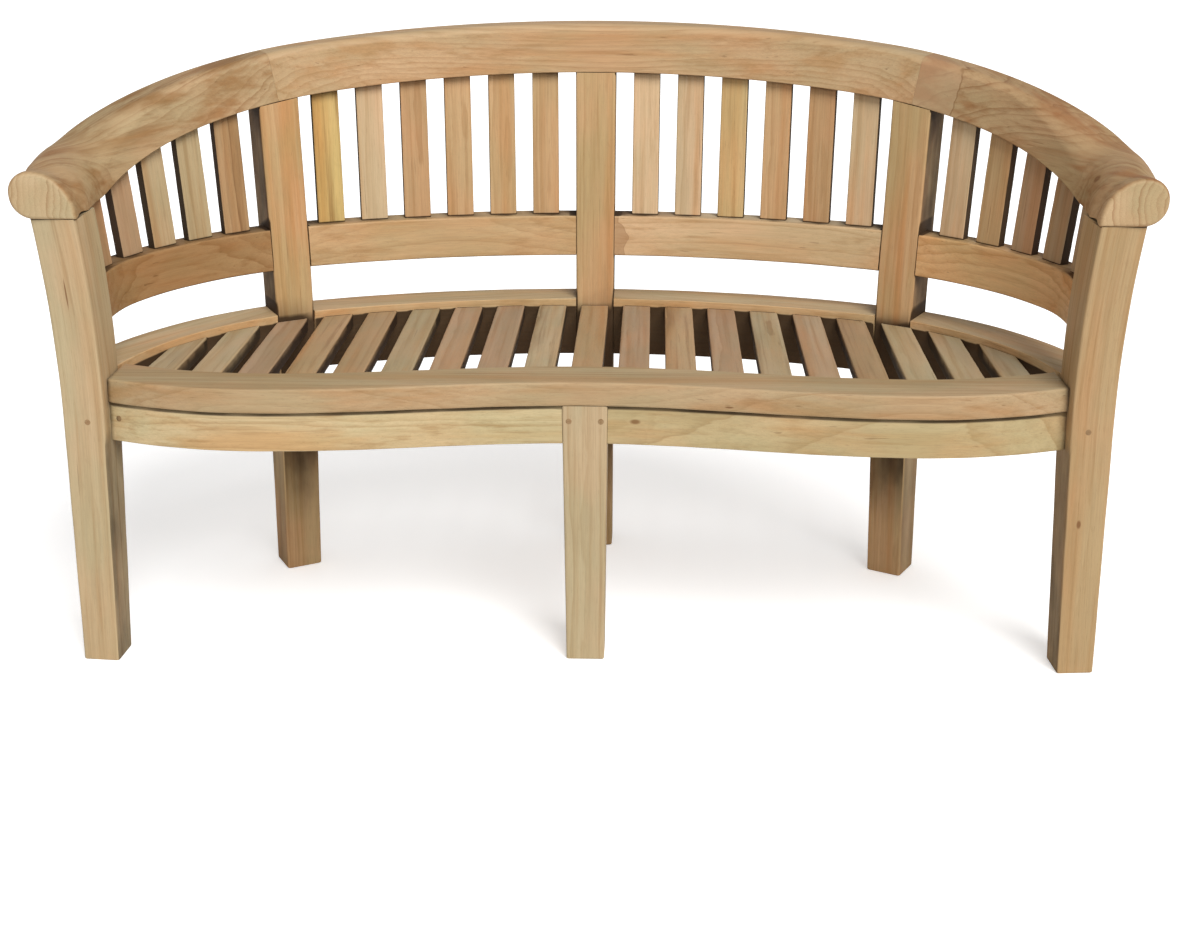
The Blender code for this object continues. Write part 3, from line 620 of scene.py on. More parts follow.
@dataclass
class TeakEffects:
    """Node groups that every teak finish shares."""

    rings: Tree = field(init=False)
    fibres: Tree = field(init=False)
    wear_and_painted_light: Tree = field(init=False)
    patch: Tree = field(init=False)

    def __post_init__(self) -> None:
        """Builds the groups."""
        self.rings = self.growth_rings()
        self.fibres = self.wood_fibres()
        self.wear_and_painted_light = self.edge_wear()
        self.patch = self.sap_patch()

    @staticmethod
    def moved(w: Wiring, start: bpy.types.Node, shares: Point) -> Socket:
        """Gives the grain coordinates moved by a piece's seed."""
        steps = [w.maths('MULTIPLY', start.outputs["Seed"], share) for share in shares]
        return w.vector('ADD', start.outputs["Grain"], w.node('CombineXYZ', *steps).outputs[0])

    @staticmethod
    def growth_rings() -> Tree:
        """Makes rings about a wandering heart line, bent round a knot.

        Returns:
            A group that gives the rings, broad bands and the knot's mask.
        """
        w, start, end = group("growth_rings", {
            "Grain": None, "Heart Across": 0.1, "Heart Depth": 0.05, "Spacing": 0.005,
            "Wander": 0.012, "Seed": 0.0, "Knot Place": None, "Knot Size": 0.006, "Knot Length": 2.0,
        }, ("Rings", "Bands", "Knot"))
        grain, size = start.outputs["Grain"], start.outputs["Knot Size"]
        # The grain is pushed aside round the knot
        off = w.vector('SUBTRACT', grain, start.outputs["Knot Place"])
        squash = w.node('CombineXYZ', w.maths('DIVIDE', 1.0, start.outputs["Knot Length"]), 1.0, 1.0)
        reach = w.vector('LENGTH', w.vector('MULTIPLY', off, squash.outputs[0]))
        near = w.maths('EXPONENT', w.maths('DIVIDE', reach, w.maths('MULTIPLY', size, -2.4)))
        push = w.vector('SCALE', w.vector('SIGN', off), None, None, w.maths('MULTIPLY', near, size))
        # Distance from the heart line, which drifts sideways
        place = TeakEffects.moved(w, start, (3.7, 1.3, 1.0))
        drift = w.maths('MULTIPLY_ADD', w.noise(place, Pattern.DRIFT), 2.0, -1.0)
        part = w.node('SeparateXYZ', w.vector('SUBTRACT', grain, push)).outputs
        across = w.maths('SUBTRACT', part[1], start.outputs["Heart Across"])
        across = w.maths('ADD', across, w.maths('MULTIPLY', drift, start.outputs["Wander"]))
        depth = w.maths('SUBTRACT', part[2], start.outputs["Heart Depth"])
        squares = [w.maths('POWER', length, 2.0) for length in (across, depth)]
        radius = w.maths('SQRT', w.maths('ADD', *squares))
        # Each ring darkens slowly and ends sharply, some more than others
        ripple = w.maths('MULTIPLY_ADD', w.noise(place, Pattern.RIPPLE), 1.5, -0.75)
        count = w.maths('ADD', w.maths('DIVIDE', radius, start.outputs["Spacing"]), ripple)
        phase = w.maths('FRACT', count)
        fall = w.spread(phase, 0.90, 1.0, 1.0, 0.0)
        late = w.maths('MULTIPLY', w.maths('POWER', phase, 2.2), fall)
        number = w.maths('ADD', w.maths('FLOOR', count), start.outputs["Seed"])
        strength = w.feed(w.node('TexWhiteNoise', noise_dimensions='1D'), W=number)
        weight = w.spread(strength.outputs[0], 0.0, 1.0, 0.2, 1.0)
        w.feed(end, Rings=w.maths('MULTIPLY', late, weight), Bands=w.noise(place, Pattern.BANDS),
               Knot=w.spread(w.maths('DIVIDE', reach, size), 0.45, 1.0, 1.0, 0.0))
        return w.tree

    @staticmethod
    def wood_fibres() -> Tree:
        """Makes the figure that runs along the grain.

        Returns:
            A group that gives streaks, lines, fibres, open pores, hair cracks and blotches.
        """
        w, start, end = group("wood_fibres", {"Grain": None, "Seed": 0.0}, (
            "Streaks", "Lines", "Fibres", "Pores", "Cracks", "Blotches"))
        place = TeakEffects.moved(w, start, (2.9, 7.7, 5.1))
        w.feed(end, Streaks=w.noise(place, Pattern.STREAKS), Lines=w.noise(place, Pattern.LINES),
               Fibres=w.noise(place, Pattern.FIBRES),
               Pores=w.spread(w.noise(place, Pattern.PORES), 0.62, 0.72),
               Cracks=w.spread(w.noise(place, Pattern.CRACKS), 0.70, 0.76),
               Blotches=w.spread(w.noise(place, Pattern.BLOTCHES), 0.33, 0.67))
        return w.tree

    @staticmethod
    def edge_wear() -> Tree:
        """Makes masks of wear, weather and painted light.

        Returns:
            A group that gives rubbed arrises with a painted highlight, faces that look up, handling marks
            and painted shade.
        """
        w, start, end = group("edge_wear", {"Grain": None, "Seed": 0.0}, (
            "Edge", "Top", "Dirt", "Grime"))
        place = TeakEffects.moved(w, start, (1.9, 4.3, 8.9))
        rubs, dirt = w.noise(place, Pattern.RUBS), w.noise(place, Pattern.DIRT)
        normal = w.node('SeparateXYZ', w.node('NewGeometry').outputs["Normal"]).outputs
        # Faces that look up, for weathered grey and painted shade
        up = w.spread(normal[2], 0.35, 0.9)
        # Painted shade from the mesh's attribute, varied a little by noise
        grime = w.maths('MULTIPLY', w.attribute(PAINTED_SHADE), w.spread(dirt, 0.2, 0.8, 0.85, 1.15))
        # Edge: rubbed arrises, for wear and a painted highlight
        w.feed(end, Edge=w.maths('MULTIPLY', w.attribute(ARRIS), w.spread(rubs, 0.35, 0.65)),
               Top=w.maths('MULTIPLY', up, w.spread(rubs, 0.25, 0.7, 0.6, 1.0)),
               Dirt=w.spread(dirt, 0.5, 0.75), Grime=w.spread(grime, 0.22, 0.55))
        return w.tree

    @staticmethod
    def sap_patch() -> Tree:
        """Makes a patch at the start of a board.

        Returns:
            A group that gives the patch and its ragged edge.
        """
        w, start, end = group("sap_patch", {"Grain": None, "Seed": 0.0, "Reach": 0.03}, (
            "Inside", "Line"))
        place = TeakEffects.moved(w, start, (1.0, 2.0, 3.0))
        along = w.node('SeparateXYZ', start.outputs["Grain"]).outputs[0]
        gone = w.maths('SUBTRACT', along, start.outputs["Reach"])
        gone = w.maths('ADD', gone, w.maths('MULTIPLY_ADD', w.noise(place, Pattern.RAGGED), 0.06, -0.03))
        w.feed(end, Inside=w.spread(gone, -0.003, 0.001, 1.0, 0.0),
               Line=w.spread(w.maths('ABSOLUTE', gone), 0.0004, 0.0022, 1.0, 0.0))
        return w.tree


@dataclass(frozen=True)
class Knot:
    """A knot or a check: its place along, across and through a board, its radius and its length."""

    place: Point = (9.0, 9.0, 9.0)
    size: float = 0.006
    length: float = 2.0


class Tone(Enum):
    """Colours of teak boards."""

    CREAM = (0.46, 0.350, 0.208)
    STRAW = (0.53, 0.400, 0.215)
    HONEY = (0.52, 0.350, 0.185)
    TAN = (0.51, 0.330, 0.172)
    GOLDEN = (0.56, 0.385, 0.150)
    ASH = (0.58, 0.420, 0.258)
    KHAKI = (0.45, 0.335, 0.195)
    ROSE = (0.43, 0.285, 0.170)
    BROWN = (0.42, 0.275, 0.145)
    RUSSET = (0.48, 0.290, 0.148)

    def times(self, level: float) -> Colour:
        """Gives the colour, lighter or darker by a factor."""
        return tuple(channel * level for channel in self.value)


@dataclass(frozen=True)
class TeakFinish:
    """A teak finish: its tone, the factors of the tone that its figure, its wear and its painted light and
    shade show, and how strongly.
    """

    tone: Colour
    dark: Colour = (0.72, 0.60, 0.46)
    streak: Colour = (0.97, 0.78, 0.62)
    pale: Colour = (1.10, 1.13, 1.18)
    # Faces that look up turn grey as teak weathers, and darker as painted shade
    grey_and_shade: Colour = (0.78, 0.88, 1.0)
    olive: Colour = (0.95, 0.975, 0.93)
    rosy: Colour = (1.05, 0.98, 0.93)
    cracked: Colour = (0.40, 0.30, 0.22)
    knotty: Colour = (0.50, 0.36, 0.27)
    dirty: Colour = (0.72, 0.68, 0.64)
    # Rubbed arrises: lighter with wear, and a painted highlight where light catches them
    rubbed_and_highlit: Colour = (1.10, 1.08, 1.04)
    # Colour of the painted shade in slots, in corners and under the seat
    shade_tint: Colour = (0.060, 0.042, 0.028)
    end_tint: Colour = (1.05, 1.12, 1.17)
    patch_tint: Colour = (1.14, 1.16, 1.32)
    patch_edge: Colour = (0.50, 0.38, 0.30)
    spacing: float = 0.0065
    wander: float = 0.012
    heart: Flat = (0.10, 0.05)
    knot: Knot = Knot()
    patch_reach: float = 0.0
    ring_share: float = 0.62
    streak_share: float = 0.75
    streak_from: float = 0.46
    streak_ramp: float = 0.24
    line_share: float = 0.55
    pore_share: float = 0.3
    pore_level: float = 0.7
    crack_share: float = 0.5
    patch_share: float = 0.5
    patch_edge_share: float = 0.6
    grey_and_shade_share: float = 0.6
    dirt_share: float = 0.14
    rub_and_highlight_share: float = 0.5
    shade_share: float = 0.95
    band_range: Flat = (0.38, 0.66)
    line_range: Flat = (0.48, 0.74)
    fibre_range: Flat = (0.3, 0.7)
    fibre_shade: Flat = (0.94, 1.05)
    roughness: float = 0.52
    rough_range: Flat = (-0.06, 0.08)
    rub_smooth: float = 0.08
    shade_rough: float = 0.25
    late_rough: float = 0.05
    fibre_height: float = 0.5
    ring_height: float = 0.4
    pore_depth: float = 0.6
    crack_depth: float = 0.8
    specular: float = 0.2
    bump_strength: float = 0.35
    bump_height: float = 0.0004

    def shade(self, factor: Colour) -> Colour:
        """Gives the tone times a factor for each channel."""
        return tuple(min(t * f, 1.0) for t, f in zip(self.tone, factor))

    def lay(self, w: Wiring, colour: Socket, factor: Colour, mask: Socket, *shares: Value) -> Socket:
        """Lays a shade of the tone over a colour.

        Args:
            w: Wiring of the material.
            colour: The colour so far.
            factor: The shade, as a factor of the tone.
            mask: Where the shade shows.
            shares: Shares that the mask is multiplied by.

        Returns:
            The new colour.
        """
        for share in shares:
            mask = w.maths('MULTIPLY', mask, share)
        return w.mix(mask, colour, self.shade(factor))

    def masks(self, w: Wiring, seed: float, effects: TeakEffects) -> dict[str, Socket]:
        """Adds the shared effects.

        Args:
            w: Wiring of the material.
            seed: Number that sets the piece apart from others.
            effects: The shared effects.

        Returns:
            Each mask by its name, with those of late wood, of end grain and of the other faces.
        """
        given = {"Grain": w.attribute(GRAIN, "Vector"), "Seed": seed}
        trees = [
            (effects.rings, {"Heart_Across": self.heart[0], "Heart_Depth": self.heart[1],
                             "Spacing": self.spacing, "Wander": self.wander,
                             "Knot_Place": self.knot.place, "Knot_Size": self.knot.size,
                             "Knot_Length": self.knot.length}),
            (effects.fibres, {}), (effects.wear_and_painted_light, {})]
        if self.patch_reach:
            trees.append((effects.patch, {"Reach": self.patch_reach}))
        found = {}
        for tree, values in trees:
            node = w.feed(w.node('Group', node_tree=tree), **given, **values)
            found.update({socket.name: socket for socket in node.outputs})
        found["Late"] = w.maths('MULTIPLY', found["Rings"], self.ring_share)
        found["Ends"] = w.attribute(END_GRAIN)
        found["Sides"] = w.maths('SUBTRACT', 1.0, found["Ends"])
        return found

    def figure(self, w: Wiring, masks: dict[str, Socket]) -> Socket:
        """Makes the colour of sound new wood.

        Args:
            w: Wiring of the material.
            masks: The masks.

        Returns:
            The colour.
        """
        sides = masks["Sides"]
        streaks = w.spread(masks["Streaks"], self.streak_from, self.streak_from + self.streak_ramp)
        lines = w.spread(masks["Lines"], *self.line_range)
        fine = w.spread(masks["Fibres"], *self.fibre_range, *self.fibre_shade)
        pores = tuple(channel * self.pore_level for channel in self.dark)
        colour = w.mix(w.spread(masks["Bands"], *self.band_range), self.tone, self.shade(self.pale))
        colour = self.lay(w, colour, self.streak, streaks, self.streak_share, sides)
        colour = self.lay(w, colour, self.dark, lines, self.line_share, sides)
        colour = self.lay(w, colour, self.dark, masks["Late"])
        colour = w.mix(1.0, colour, w.node('CombineColor', fine, fine, fine).outputs[0], 'MULTIPLY')
        colour = self.lay(w, colour, pores, masks["Pores"], self.pore_share)
        colour = self.lay(w, colour, self.cracked, masks["Cracks"], self.crack_share, sides)
        if self.patch_reach:
            colour = self.lay(w, colour, self.patch_tint, masks["Inside"], self.patch_share)
            colour = self.lay(w, colour, self.patch_edge, masks["Line"], self.patch_edge_share)
        blotches = w.mix(masks["Blotches"], self.olive, self.rosy)
        colour = w.mix(1.0, colour, blotches, 'MULTIPLY')
        return w.mix(masks["Ends"], colour, w.mix(1.0, colour, self.end_tint, 'MULTIPLY'))

    def weather_and_painted_light(self, w: Wiring, masks: dict[str, Socket], colour: Socket) -> Socket:
        """Adds weathered grey and painted shade on faces that look up, dirt, rubbed arrises with a painted
        highlight, the knot and painted shade.

        Args:
            w: Wiring of the material.
            masks: The masks.
            colour: The colour of sound new wood.

        Returns:
            The weathered colour.
        """
        # Weathered grey and painted shade on faces that look up
        top = w.maths('MULTIPLY', masks["Top"], self.grey_and_shade_share)
        colour = w.mix(top, colour, w.mix(1.0, colour, self.grey_and_shade, 'MULTIPLY'))
        colour = self.lay(w, colour, self.dirty, masks["Dirt"], self.dirt_share)
        # Rubbed arrises: wear and a painted highlight
        colour = self.lay(w, colour, self.rubbed_and_highlit, masks["Edge"], self.rub_and_highlight_share)
        colour = self.lay(w, colour, self.knotty, masks["Knot"])
        # Painted shade in slots, in corners and under the seat
        return self.lay(w, colour, self.shade_tint, masks["Grime"], self.shade_share)

    def gloss(self, w: Wiring, masks: dict[str, Socket]) -> Socket:
        """Makes the roughness: less on rubbed arrises, more in late rings and where the painted shade lies.

        Args:
            w: Wiring of the material.
            masks: The masks.

        Returns:
            The roughness.
        """
        levels = [self.roughness + step for step in self.rough_range]
        rough = w.spread(masks["Fibres"], *self.fibre_range, *levels)
        rough = w.maths('SUBTRACT', rough, w.maths('MULTIPLY', masks["Edge"], self.rub_smooth))
        rough = w.maths('ADD', rough, w.maths('MULTIPLY', masks["Grime"], self.shade_rough))
        return w.maths('ADD', rough, w.maths('MULTIPLY', masks["Late"], self.late_rough))

    def relief(self, w: Wiring, masks: dict[str, Socket]) -> Socket:
        """Makes the fine relief of fibres, rings, pores and cracks.

        Args:
            w: Wiring of the material.
            masks: The masks.

        Returns:
            The normal.
        """
        height = w.maths('ADD', w.maths('MULTIPLY', masks["Fibres"], self.fibre_height),
                         w.maths('MULTIPLY', masks["Rings"], self.ring_height))
        for pit, depth in (("Pores", self.pore_depth), ("Cracks", self.crack_depth)):
            height = w.maths('SUBTRACT', height, w.maths('MULTIPLY', masks[pit], depth))
        return w.feed(w.node('Bump'), Strength=self.bump_strength, Distance=self.bump_height,
                      Height=height).outputs[0]

    def material(self, name: str, seed: int, effects: TeakEffects) -> bpy.types.Material:
        """Makes the material of one piece.

        Args:
            name: Name of the piece.
            seed: Number that sets the piece apart from others.
            effects: The shared effects.

        Returns:
            The material.
        """
        material = bpy.data.materials.new(name + "_teak")
        material.use_nodes = True
        w = Wiring(material.node_tree)
        masks = self.masks(w, float(seed), effects)
        colour = self.weather_and_painted_light(w, masks, self.figure(w, masks))
        w.feed(w.tree.nodes["Principled BSDF"], Base_Color=colour, Roughness=self.gloss(w, masks),
               Specular_IOR_Level=self.specular, Normal=self.relief(w, masks))
        return material


@dataclass
class Workshop:
    """Makes the objects of wooden pieces and hands them to the frame."""

    finishes: dict[str, TeakFinish]
    effects: TeakEffects = field(default_factory=TeakEffects)
    pieces: list[bpy.types.Object] = field(default_factory=list)
    seed_start: int = 11
    seed_step: int = 37
    seeds: int = 97
    face_weight: int = 80

    def make(self, name: str, board: Board, nodes: Sequence[str] | None = None) -> None:
        """Makes one piece.

        Args:
            name: Name of the piece.
            board: Its shape.
            nodes: CAD nodes that the piece stands for; without them, the node of its name.
        """
        piece = bpy.data.objects.new(name, board.mesh(name))
        bpy.context.scene.collection.objects.link(piece)
        self.pieces.append(piece)
        seed = (self.seed_start + self.seed_step * len(self.pieces)) % self.seeds
        piece.data.materials.append(self.finishes[name].material(name, seed, self.effects))
        normals = piece.modifiers.new("even_normals", 'WEIGHTED_NORMAL')
        normals.keep_sharp = True
        normals.weight = self.face_weight
        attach(piece, "root")
        nodes = (name,) if nodes is None else nodes
        if nodes:
            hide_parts(*nodes)
        LOG.info("%s: %d faces", name, len(piece.data.polygons))


@dataclass(frozen=True)
class Grime:
    """Works out painted shade: darkening in slots, in corners and under the seat, where shade falls."""

    reach: float = 0.12
    rays: int = 36
    lift: float = 0.002
    middle_y: float = -0.06
    facing: float = 0.25
    seat_drop: float = 0.0125
    clear_drop: float = 0.009
    flat: float = 0.7
    slat_share: float = 0.78
    leg_share: float = 0.6
    board_share: float = 0.45
    dark: float = 0.62
    fade_z: float = -0.11
    front_y: float = -0.19
    front_dark: float = 0.385

    def directions(self) -> list[Vector]:
        """Gives directions spread over the half sphere about +Z.

        Returns:
            The directions, closest together at its top.
        """
        golden = math.pi * (3 - math.sqrt(5))
        found = []
        for i in range(self.rays):
            share = (i + 0.5) / self.rays
            level = math.sqrt(share)
            found.append(Vector((level * math.cos(golden * i), level * math.sin(golden * i),
                                 math.sqrt(1 - share))))
        return found

    def under_seat(self, place: Vector, normal: Vector) -> float:
        """Gives the painted shade of a face that looks in under the seat.

        Args:
            place: A point of the face.
            normal: Its normal.

        Returns:
            The painted shade, less of it towards the floor.
        """
        inward = Vector((-place.x, self.middle_y - place.y, 0)).normalized().dot(normal)
        low = LEVELS.seat_rail_bottom
        if place.z > LEVELS.seat - self.seat_drop or inward < self.facing:
            return 0.0
        if place.y < self.front_y:
            return self.front_dark if place.z < low else 0.0
        return self.dark * smooth_share(place.z, self.fade_z, low)

    def share_of(self, name: str, place: Vector, normal: Vector) -> float:
        """Gives how much of the gathered painted shade stays: none on the tops of the seat slats and the
        seat rails.

        Args:
            name: Name of the piece.
            place: A point of it.
            normal: The point's normal.

        Returns:
            The share.
        """
        if name.startswith("seat_slat") and normal.z > self.flat:
            return 0.0
        if name.startswith("seat_rail") and place.z > LEVELS.seat - self.clear_drop:
            return 0.0
        for start, share in (("back_slat", self.slat_share), ("front_apron", self.board_share),
                             ("seat_front", self.board_share), ("front_leg", self.leg_share)):
            if name.startswith(start):
                return share
        return 1.0

    def gather(self, pieces: Sequence[bpy.types.Object]) -> None:
        """Stores at every vertex, as painted shade, how much of the space round it other wood fills.

        Args:
            pieces: The wooden pieces.
        """
        points, faces = [], []
        for piece in pieces:
            start = len(points)
            points += [vertex.co.copy() for vertex in piece.data.vertices]
            faces += [[start + i for i in face.vertices] for face in piece.data.polygons]
        wood = BVHTree.FromPolygons(points, faces)
        spread = self.directions()
        for piece in pieces:
            layer = piece.data.attributes[PAINTED_SHADE].data
            found = []
            for vertex, own in zip(piece.data.vertices, layer):
                turn = vertex.normal.to_track_quat('Z', 'Y').to_matrix()
                start = vertex.co + vertex.normal * self.lift
                hits = [wood.ray_cast(start, turn @ away, self.reach)[2] for away in spread]
                filled = sum(hit is not None for hit in hits) / self.rays
                filled *= self.share_of(piece.name, vertex.co, vertex.normal)
                # Painted shade: the most of the side faces' shade, the filled share and the shade under the
                # seat
                found.append(max(own.value, filled, self.under_seat(vertex.co, vertex.normal)))
            layer.foreach_set("value", found)


@dataclass
class FrontLegs:
    """The two front legs, which flare out and carry the arms, and the short centre leg."""

    turn: float = math.radians(4.9)
    outset: float = 0.028
    splay: float = 0.003
    flare: float = 0.0255
    flare_height: float = 0.331
    widths: Point = (0.052, 0.059, 0.063)
    depths: Flat = (0.052, 0.078)
    centre_widths: Flat = (0.054, 0.064)
    centre_face_y: float = 0.0235
    centre_depth: float = 0.056
    ease: Ease = Ease(0.0036)
    foot_round: float = 0.002
    foot_steps: int = 3
    steps: int = 26

    @property
    def foot_x(self) -> float:
        """Gives the x of a leg's centre line at the foot."""
        return CURVE.arm_x + CURVE.arm_radius + self.outset

    def size(self, height: float) -> Point:
        """Gives a leg's size at a height.

        Args:
            height: The height.

        Returns:
            The x of the centre line, the width and the depth.
        """
        below = min(height / self.flare_height, 1.0)
        above = max(height - self.flare_height, 0.0) / (LEVELS.rail_arm - self.flare_height)
        foot, seat, top = self.widths
        width = foot + (seat - foot) * below + (top - seat) * above
        centre = self.foot_x + self.splay * below + self.flare * above * above
        return centre, width, blend(*self.depths, height / LEVELS.rail_arm)

    def point(self, across: float, back: float, height: float) -> Flat:
        """Gives a plan point of the right leg.

        Args:
            across: Distance off its centre line.
            back: Distance behind its front face.
            height: Height of the point.

        Returns:
            Its x and y.
        """
        centre, _, depth = self.size(height)
        v = back - depth / 2
        x = centre + across * math.cos(self.turn) - v * math.sin(self.turn)
        y = depth / 2 + across * math.sin(self.turn) + v * math.cos(self.turn)
        return x, y - CURVE.centre_y

    def inner_x(self, y: float, height: float) -> float:
        """Gives the x of the right leg's inner face at a y and a height, less the gap."""
        face_x, face_y = self.point(-self.size(height)[1] / 2, 0.0, height)
        return face_x - (y - face_y) * math.tan(self.turn) - GAP

    def end_angle(self, offset: float, height: float) -> float:
        """Gives the angle at which a rail meets the back face of a leg.

        Args:
            offset: Offset of a point of the rail.
            height: Its height.

        Returns:
            The angle round the back.
        """
        face_x, face_y = self.point(0.0, self.size(height)[2], height)
        reach = (face_y - CURVE.arm_y) * math.cos(self.turn) + GAP - (
            face_x - CURVE.arm_x) * math.sin(self.turn)
        return math.acos(reach / (CURVE.arm_radius + offset)) - self.turn

    def heights(self, top: float) -> list[Flat]:
        """Gives the levels of a leg's rings, close together at the foot and the top.

        Args:
            top: Height of the leg.

        Returns:
            The height and the inset of each ring.
        """
        turns = [math.pi * i / (2 * self.foot_steps) for i in range(self.foot_steps)]
        rounds = [(self.foot_round * (1 - math.cos(turn)), self.foot_round * (1 - math.sin(turn)))
                  for turn in turns]
        return rounds + close_top(self.foot_round, top, self.steps)

    def build(self, shop: Workshop) -> None:
        """Builds the three legs.

        Args:
            shop: The workshop.
        """
        for side in Side:
            self.build_side(shop, side)
        self.build_centre(shop)

    def build_side(self, shop: Workshop, side: Side) -> None:
        """Builds the leg under one arm.

        Args:
            shop: The workshop.
            side: Half of the bench.
        """
        board = Board()
        for height, inset in self.heights(LEVELS.rail_arm - GAP):
            _, width, depth = self.size(height)
            marks = rounded_section((inset - width / 2, inset), (width / 2 - inset, depth - inset),
                                    [self.ease.at(height, 3 + side.value)] * 4)
            points = [self.point(mark.u, mark.v, height) for mark in marks]
            board.add([(side.value * x, y, height) for x, y in points], marks, height)
        shop.make("front_leg_" + side.word, board)

    def build_centre(self, shop: Workshop) -> None:
        """Builds the leg under the middle of the front board.

        Args:
            shop: The workshop.
        """
        board = Board()
        top = LEVELS.board_bottom - GAP
        front = self.centre_face_y - CURVE.centre_y
        for height, inset in self.heights(top):
            half = blend(*self.centre_widths, height / top) / 2 - inset
            marks = rounded_section((-half, inset), (half, self.centre_depth - inset),
                                    [self.ease.at(height, 5)] * 4)
            board.add([(mark.u, front + mark.v, height) for mark in marks], marks, height)
        shop.make("front_leg_centre", board)


@dataclass
class BackLegs:
    """The three back legs, which lean back above the seat and carry the top rail."""

    widths: Flat = (0.056, 0.064)
    depths: Point = (0.056, 0.063, 0.066)
    spacing: float = 0.4713
    splay: float = 0.006
    splay_height: float = 0.200
    ease: Ease = Ease(0.0036)
    foot_round: float = 0.002
    fit_from: float = 0.8
    # Painted shade on the side faces, less of it below the seat
    side_shade: float = 0.44
    side_shade_low: float = 0.75
    side_shade_height: float = 0.25
    steps: int = 34

    @property
    def side_angle(self) -> float:
        """Gives the angle of a side leg."""
        join = CURVE.back_radius * CURVE.join_angle
        return CURVE.join_angle + (self.spacing - join) / CURVE.arm_radius

    def width(self, height: float) -> float:
        """Gives the width at a height."""
        return blend(*self.widths, height / LEVELS.rail_back)

    def depth(self, height: float) -> float:
        """Gives the depth at a height.

        Args:
            height: The height.

        Returns:
            The depth.
        """
        foot, seat, top = self.depths
        low = LEVELS.seat_rail_bottom
        if height < low:
            return blend(foot, seat, height / low)
        return blend(seat, top, (height - low) / (LEVELS.rail_back - low))

    def shift(self, angle: float, height: float) -> float:
        """Gives how far a leg stands off its line: side legs splay below the back.

        Args:
            angle: The leg's angle round the back.
            height: The height.

        Returns:
            The distance along the back.
        """
        if not angle:
            return 0.0
        above = smooth_share(height, self.splay_height, LEVELS.lower_rail_bottom)
        return math.copysign(self.splay, angle) * (1 - above)

    def beside(self, leg_angle: float, side: int, offset: float, height: float) -> float:
        """Gives the angle at which a rail meets the side face of a leg.

        Args:
            leg_angle: The leg's angle round the back.
            side: Side of the leg, -1 or 1.
            offset: Offset of a point of the rail.
            height: Its height.

        Returns:
            The angle round the back.
        """
        reach = side * (self.width(height) / 2 + GAP) + self.shift(leg_angle, height)
        radius = CURVE.back_radius if abs(leg_angle) < CURVE.join_angle else CURVE.arm_radius
        return leg_angle + math.asin(reach / (radius + offset))

    def place(self, angle: float, u: float, v: float) -> Flat:
        """Gives the plan point of a leg from distances along and off its inner face."""
        x, y = CURVE.point(angle, 0.0)
        return (x + u * math.cos(angle) + v * math.sin(angle),
                y - u * math.sin(angle) + v * math.cos(angle))

    def leaning(self, angle: float, mark: Mark, height: float) -> Flat:
        """Gives the plan point of a section's mark at a height."""
        return self.place(angle, mark.u + self.shift(angle, height),
                          mark.v + CURVE.lean(angle, height))

    def fitted(self, angle: float, mark: Mark, height: float, span: float) -> Point:
        """Gives the place of a mark in a ring, which tilts with the top rail near the leg's top.

        Args:
            angle: The leg's angle round the back.
            mark: The mark.
            height: Height of the ring.
            span: Height of the leg.

        Returns:
            The place.
        """
        under = LEVELS.under_rail(*self.leaning(angle, mark, height))
        share = max(height / span - self.fit_from, 0.0) / (1 - self.fit_from)
        level = blend(height, under * height / span, share)
        return *self.leaning(angle, mark, level), level

    def build(self, shop: Workshop) -> None:
        """Builds the three legs."""
        for word, angle in (("left", -self.side_angle), ("centre", 0.0), ("right", self.side_angle)):
            self.build_leg(shop, "back_leg_" + word, angle)

    def build_leg(self, shop: Workshop, name: str, angle: float) -> None:
        """Builds one leg, cut to the underside of the top rail.

        Args:
            shop: The workshop.
            name: Name of the leg.
            angle: Its angle round the back.
        """
        board = Board(side_shade=self.side_shade)
        middle = CURVE.lean(angle, LEVELS.rail_back) + self.depths[2] / 2
        span = LEVELS.under_rail(*self.place(angle, 0.0, middle))
        foot = [(0.0, self.foot_round), (self.foot_round / 3, self.foot_round / 3)]
        for height, inset in foot + close_top(self.foot_round, span, self.steps):
            half = self.width(height) / 2 - inset
            marks = rounded_section((-half, inset), (half, self.depth(height) - inset),
                                    [self.ease.at(height, 7)] * 4)
            # Painted shade on the side faces, less of it towards the foot
            level = smooth_share(height, self.side_shade_height, LEVELS.seat)
            dark = blend(self.side_shade_low, 1.0, level)
            marks = [replace(mark, side=mark.side * dark) for mark in marks]
            board.add([self.fitted(angle, mark, height, span) for mark in marks], marks, height)
        shop.make(name, board)


Ending = Callable[[float, float], float]


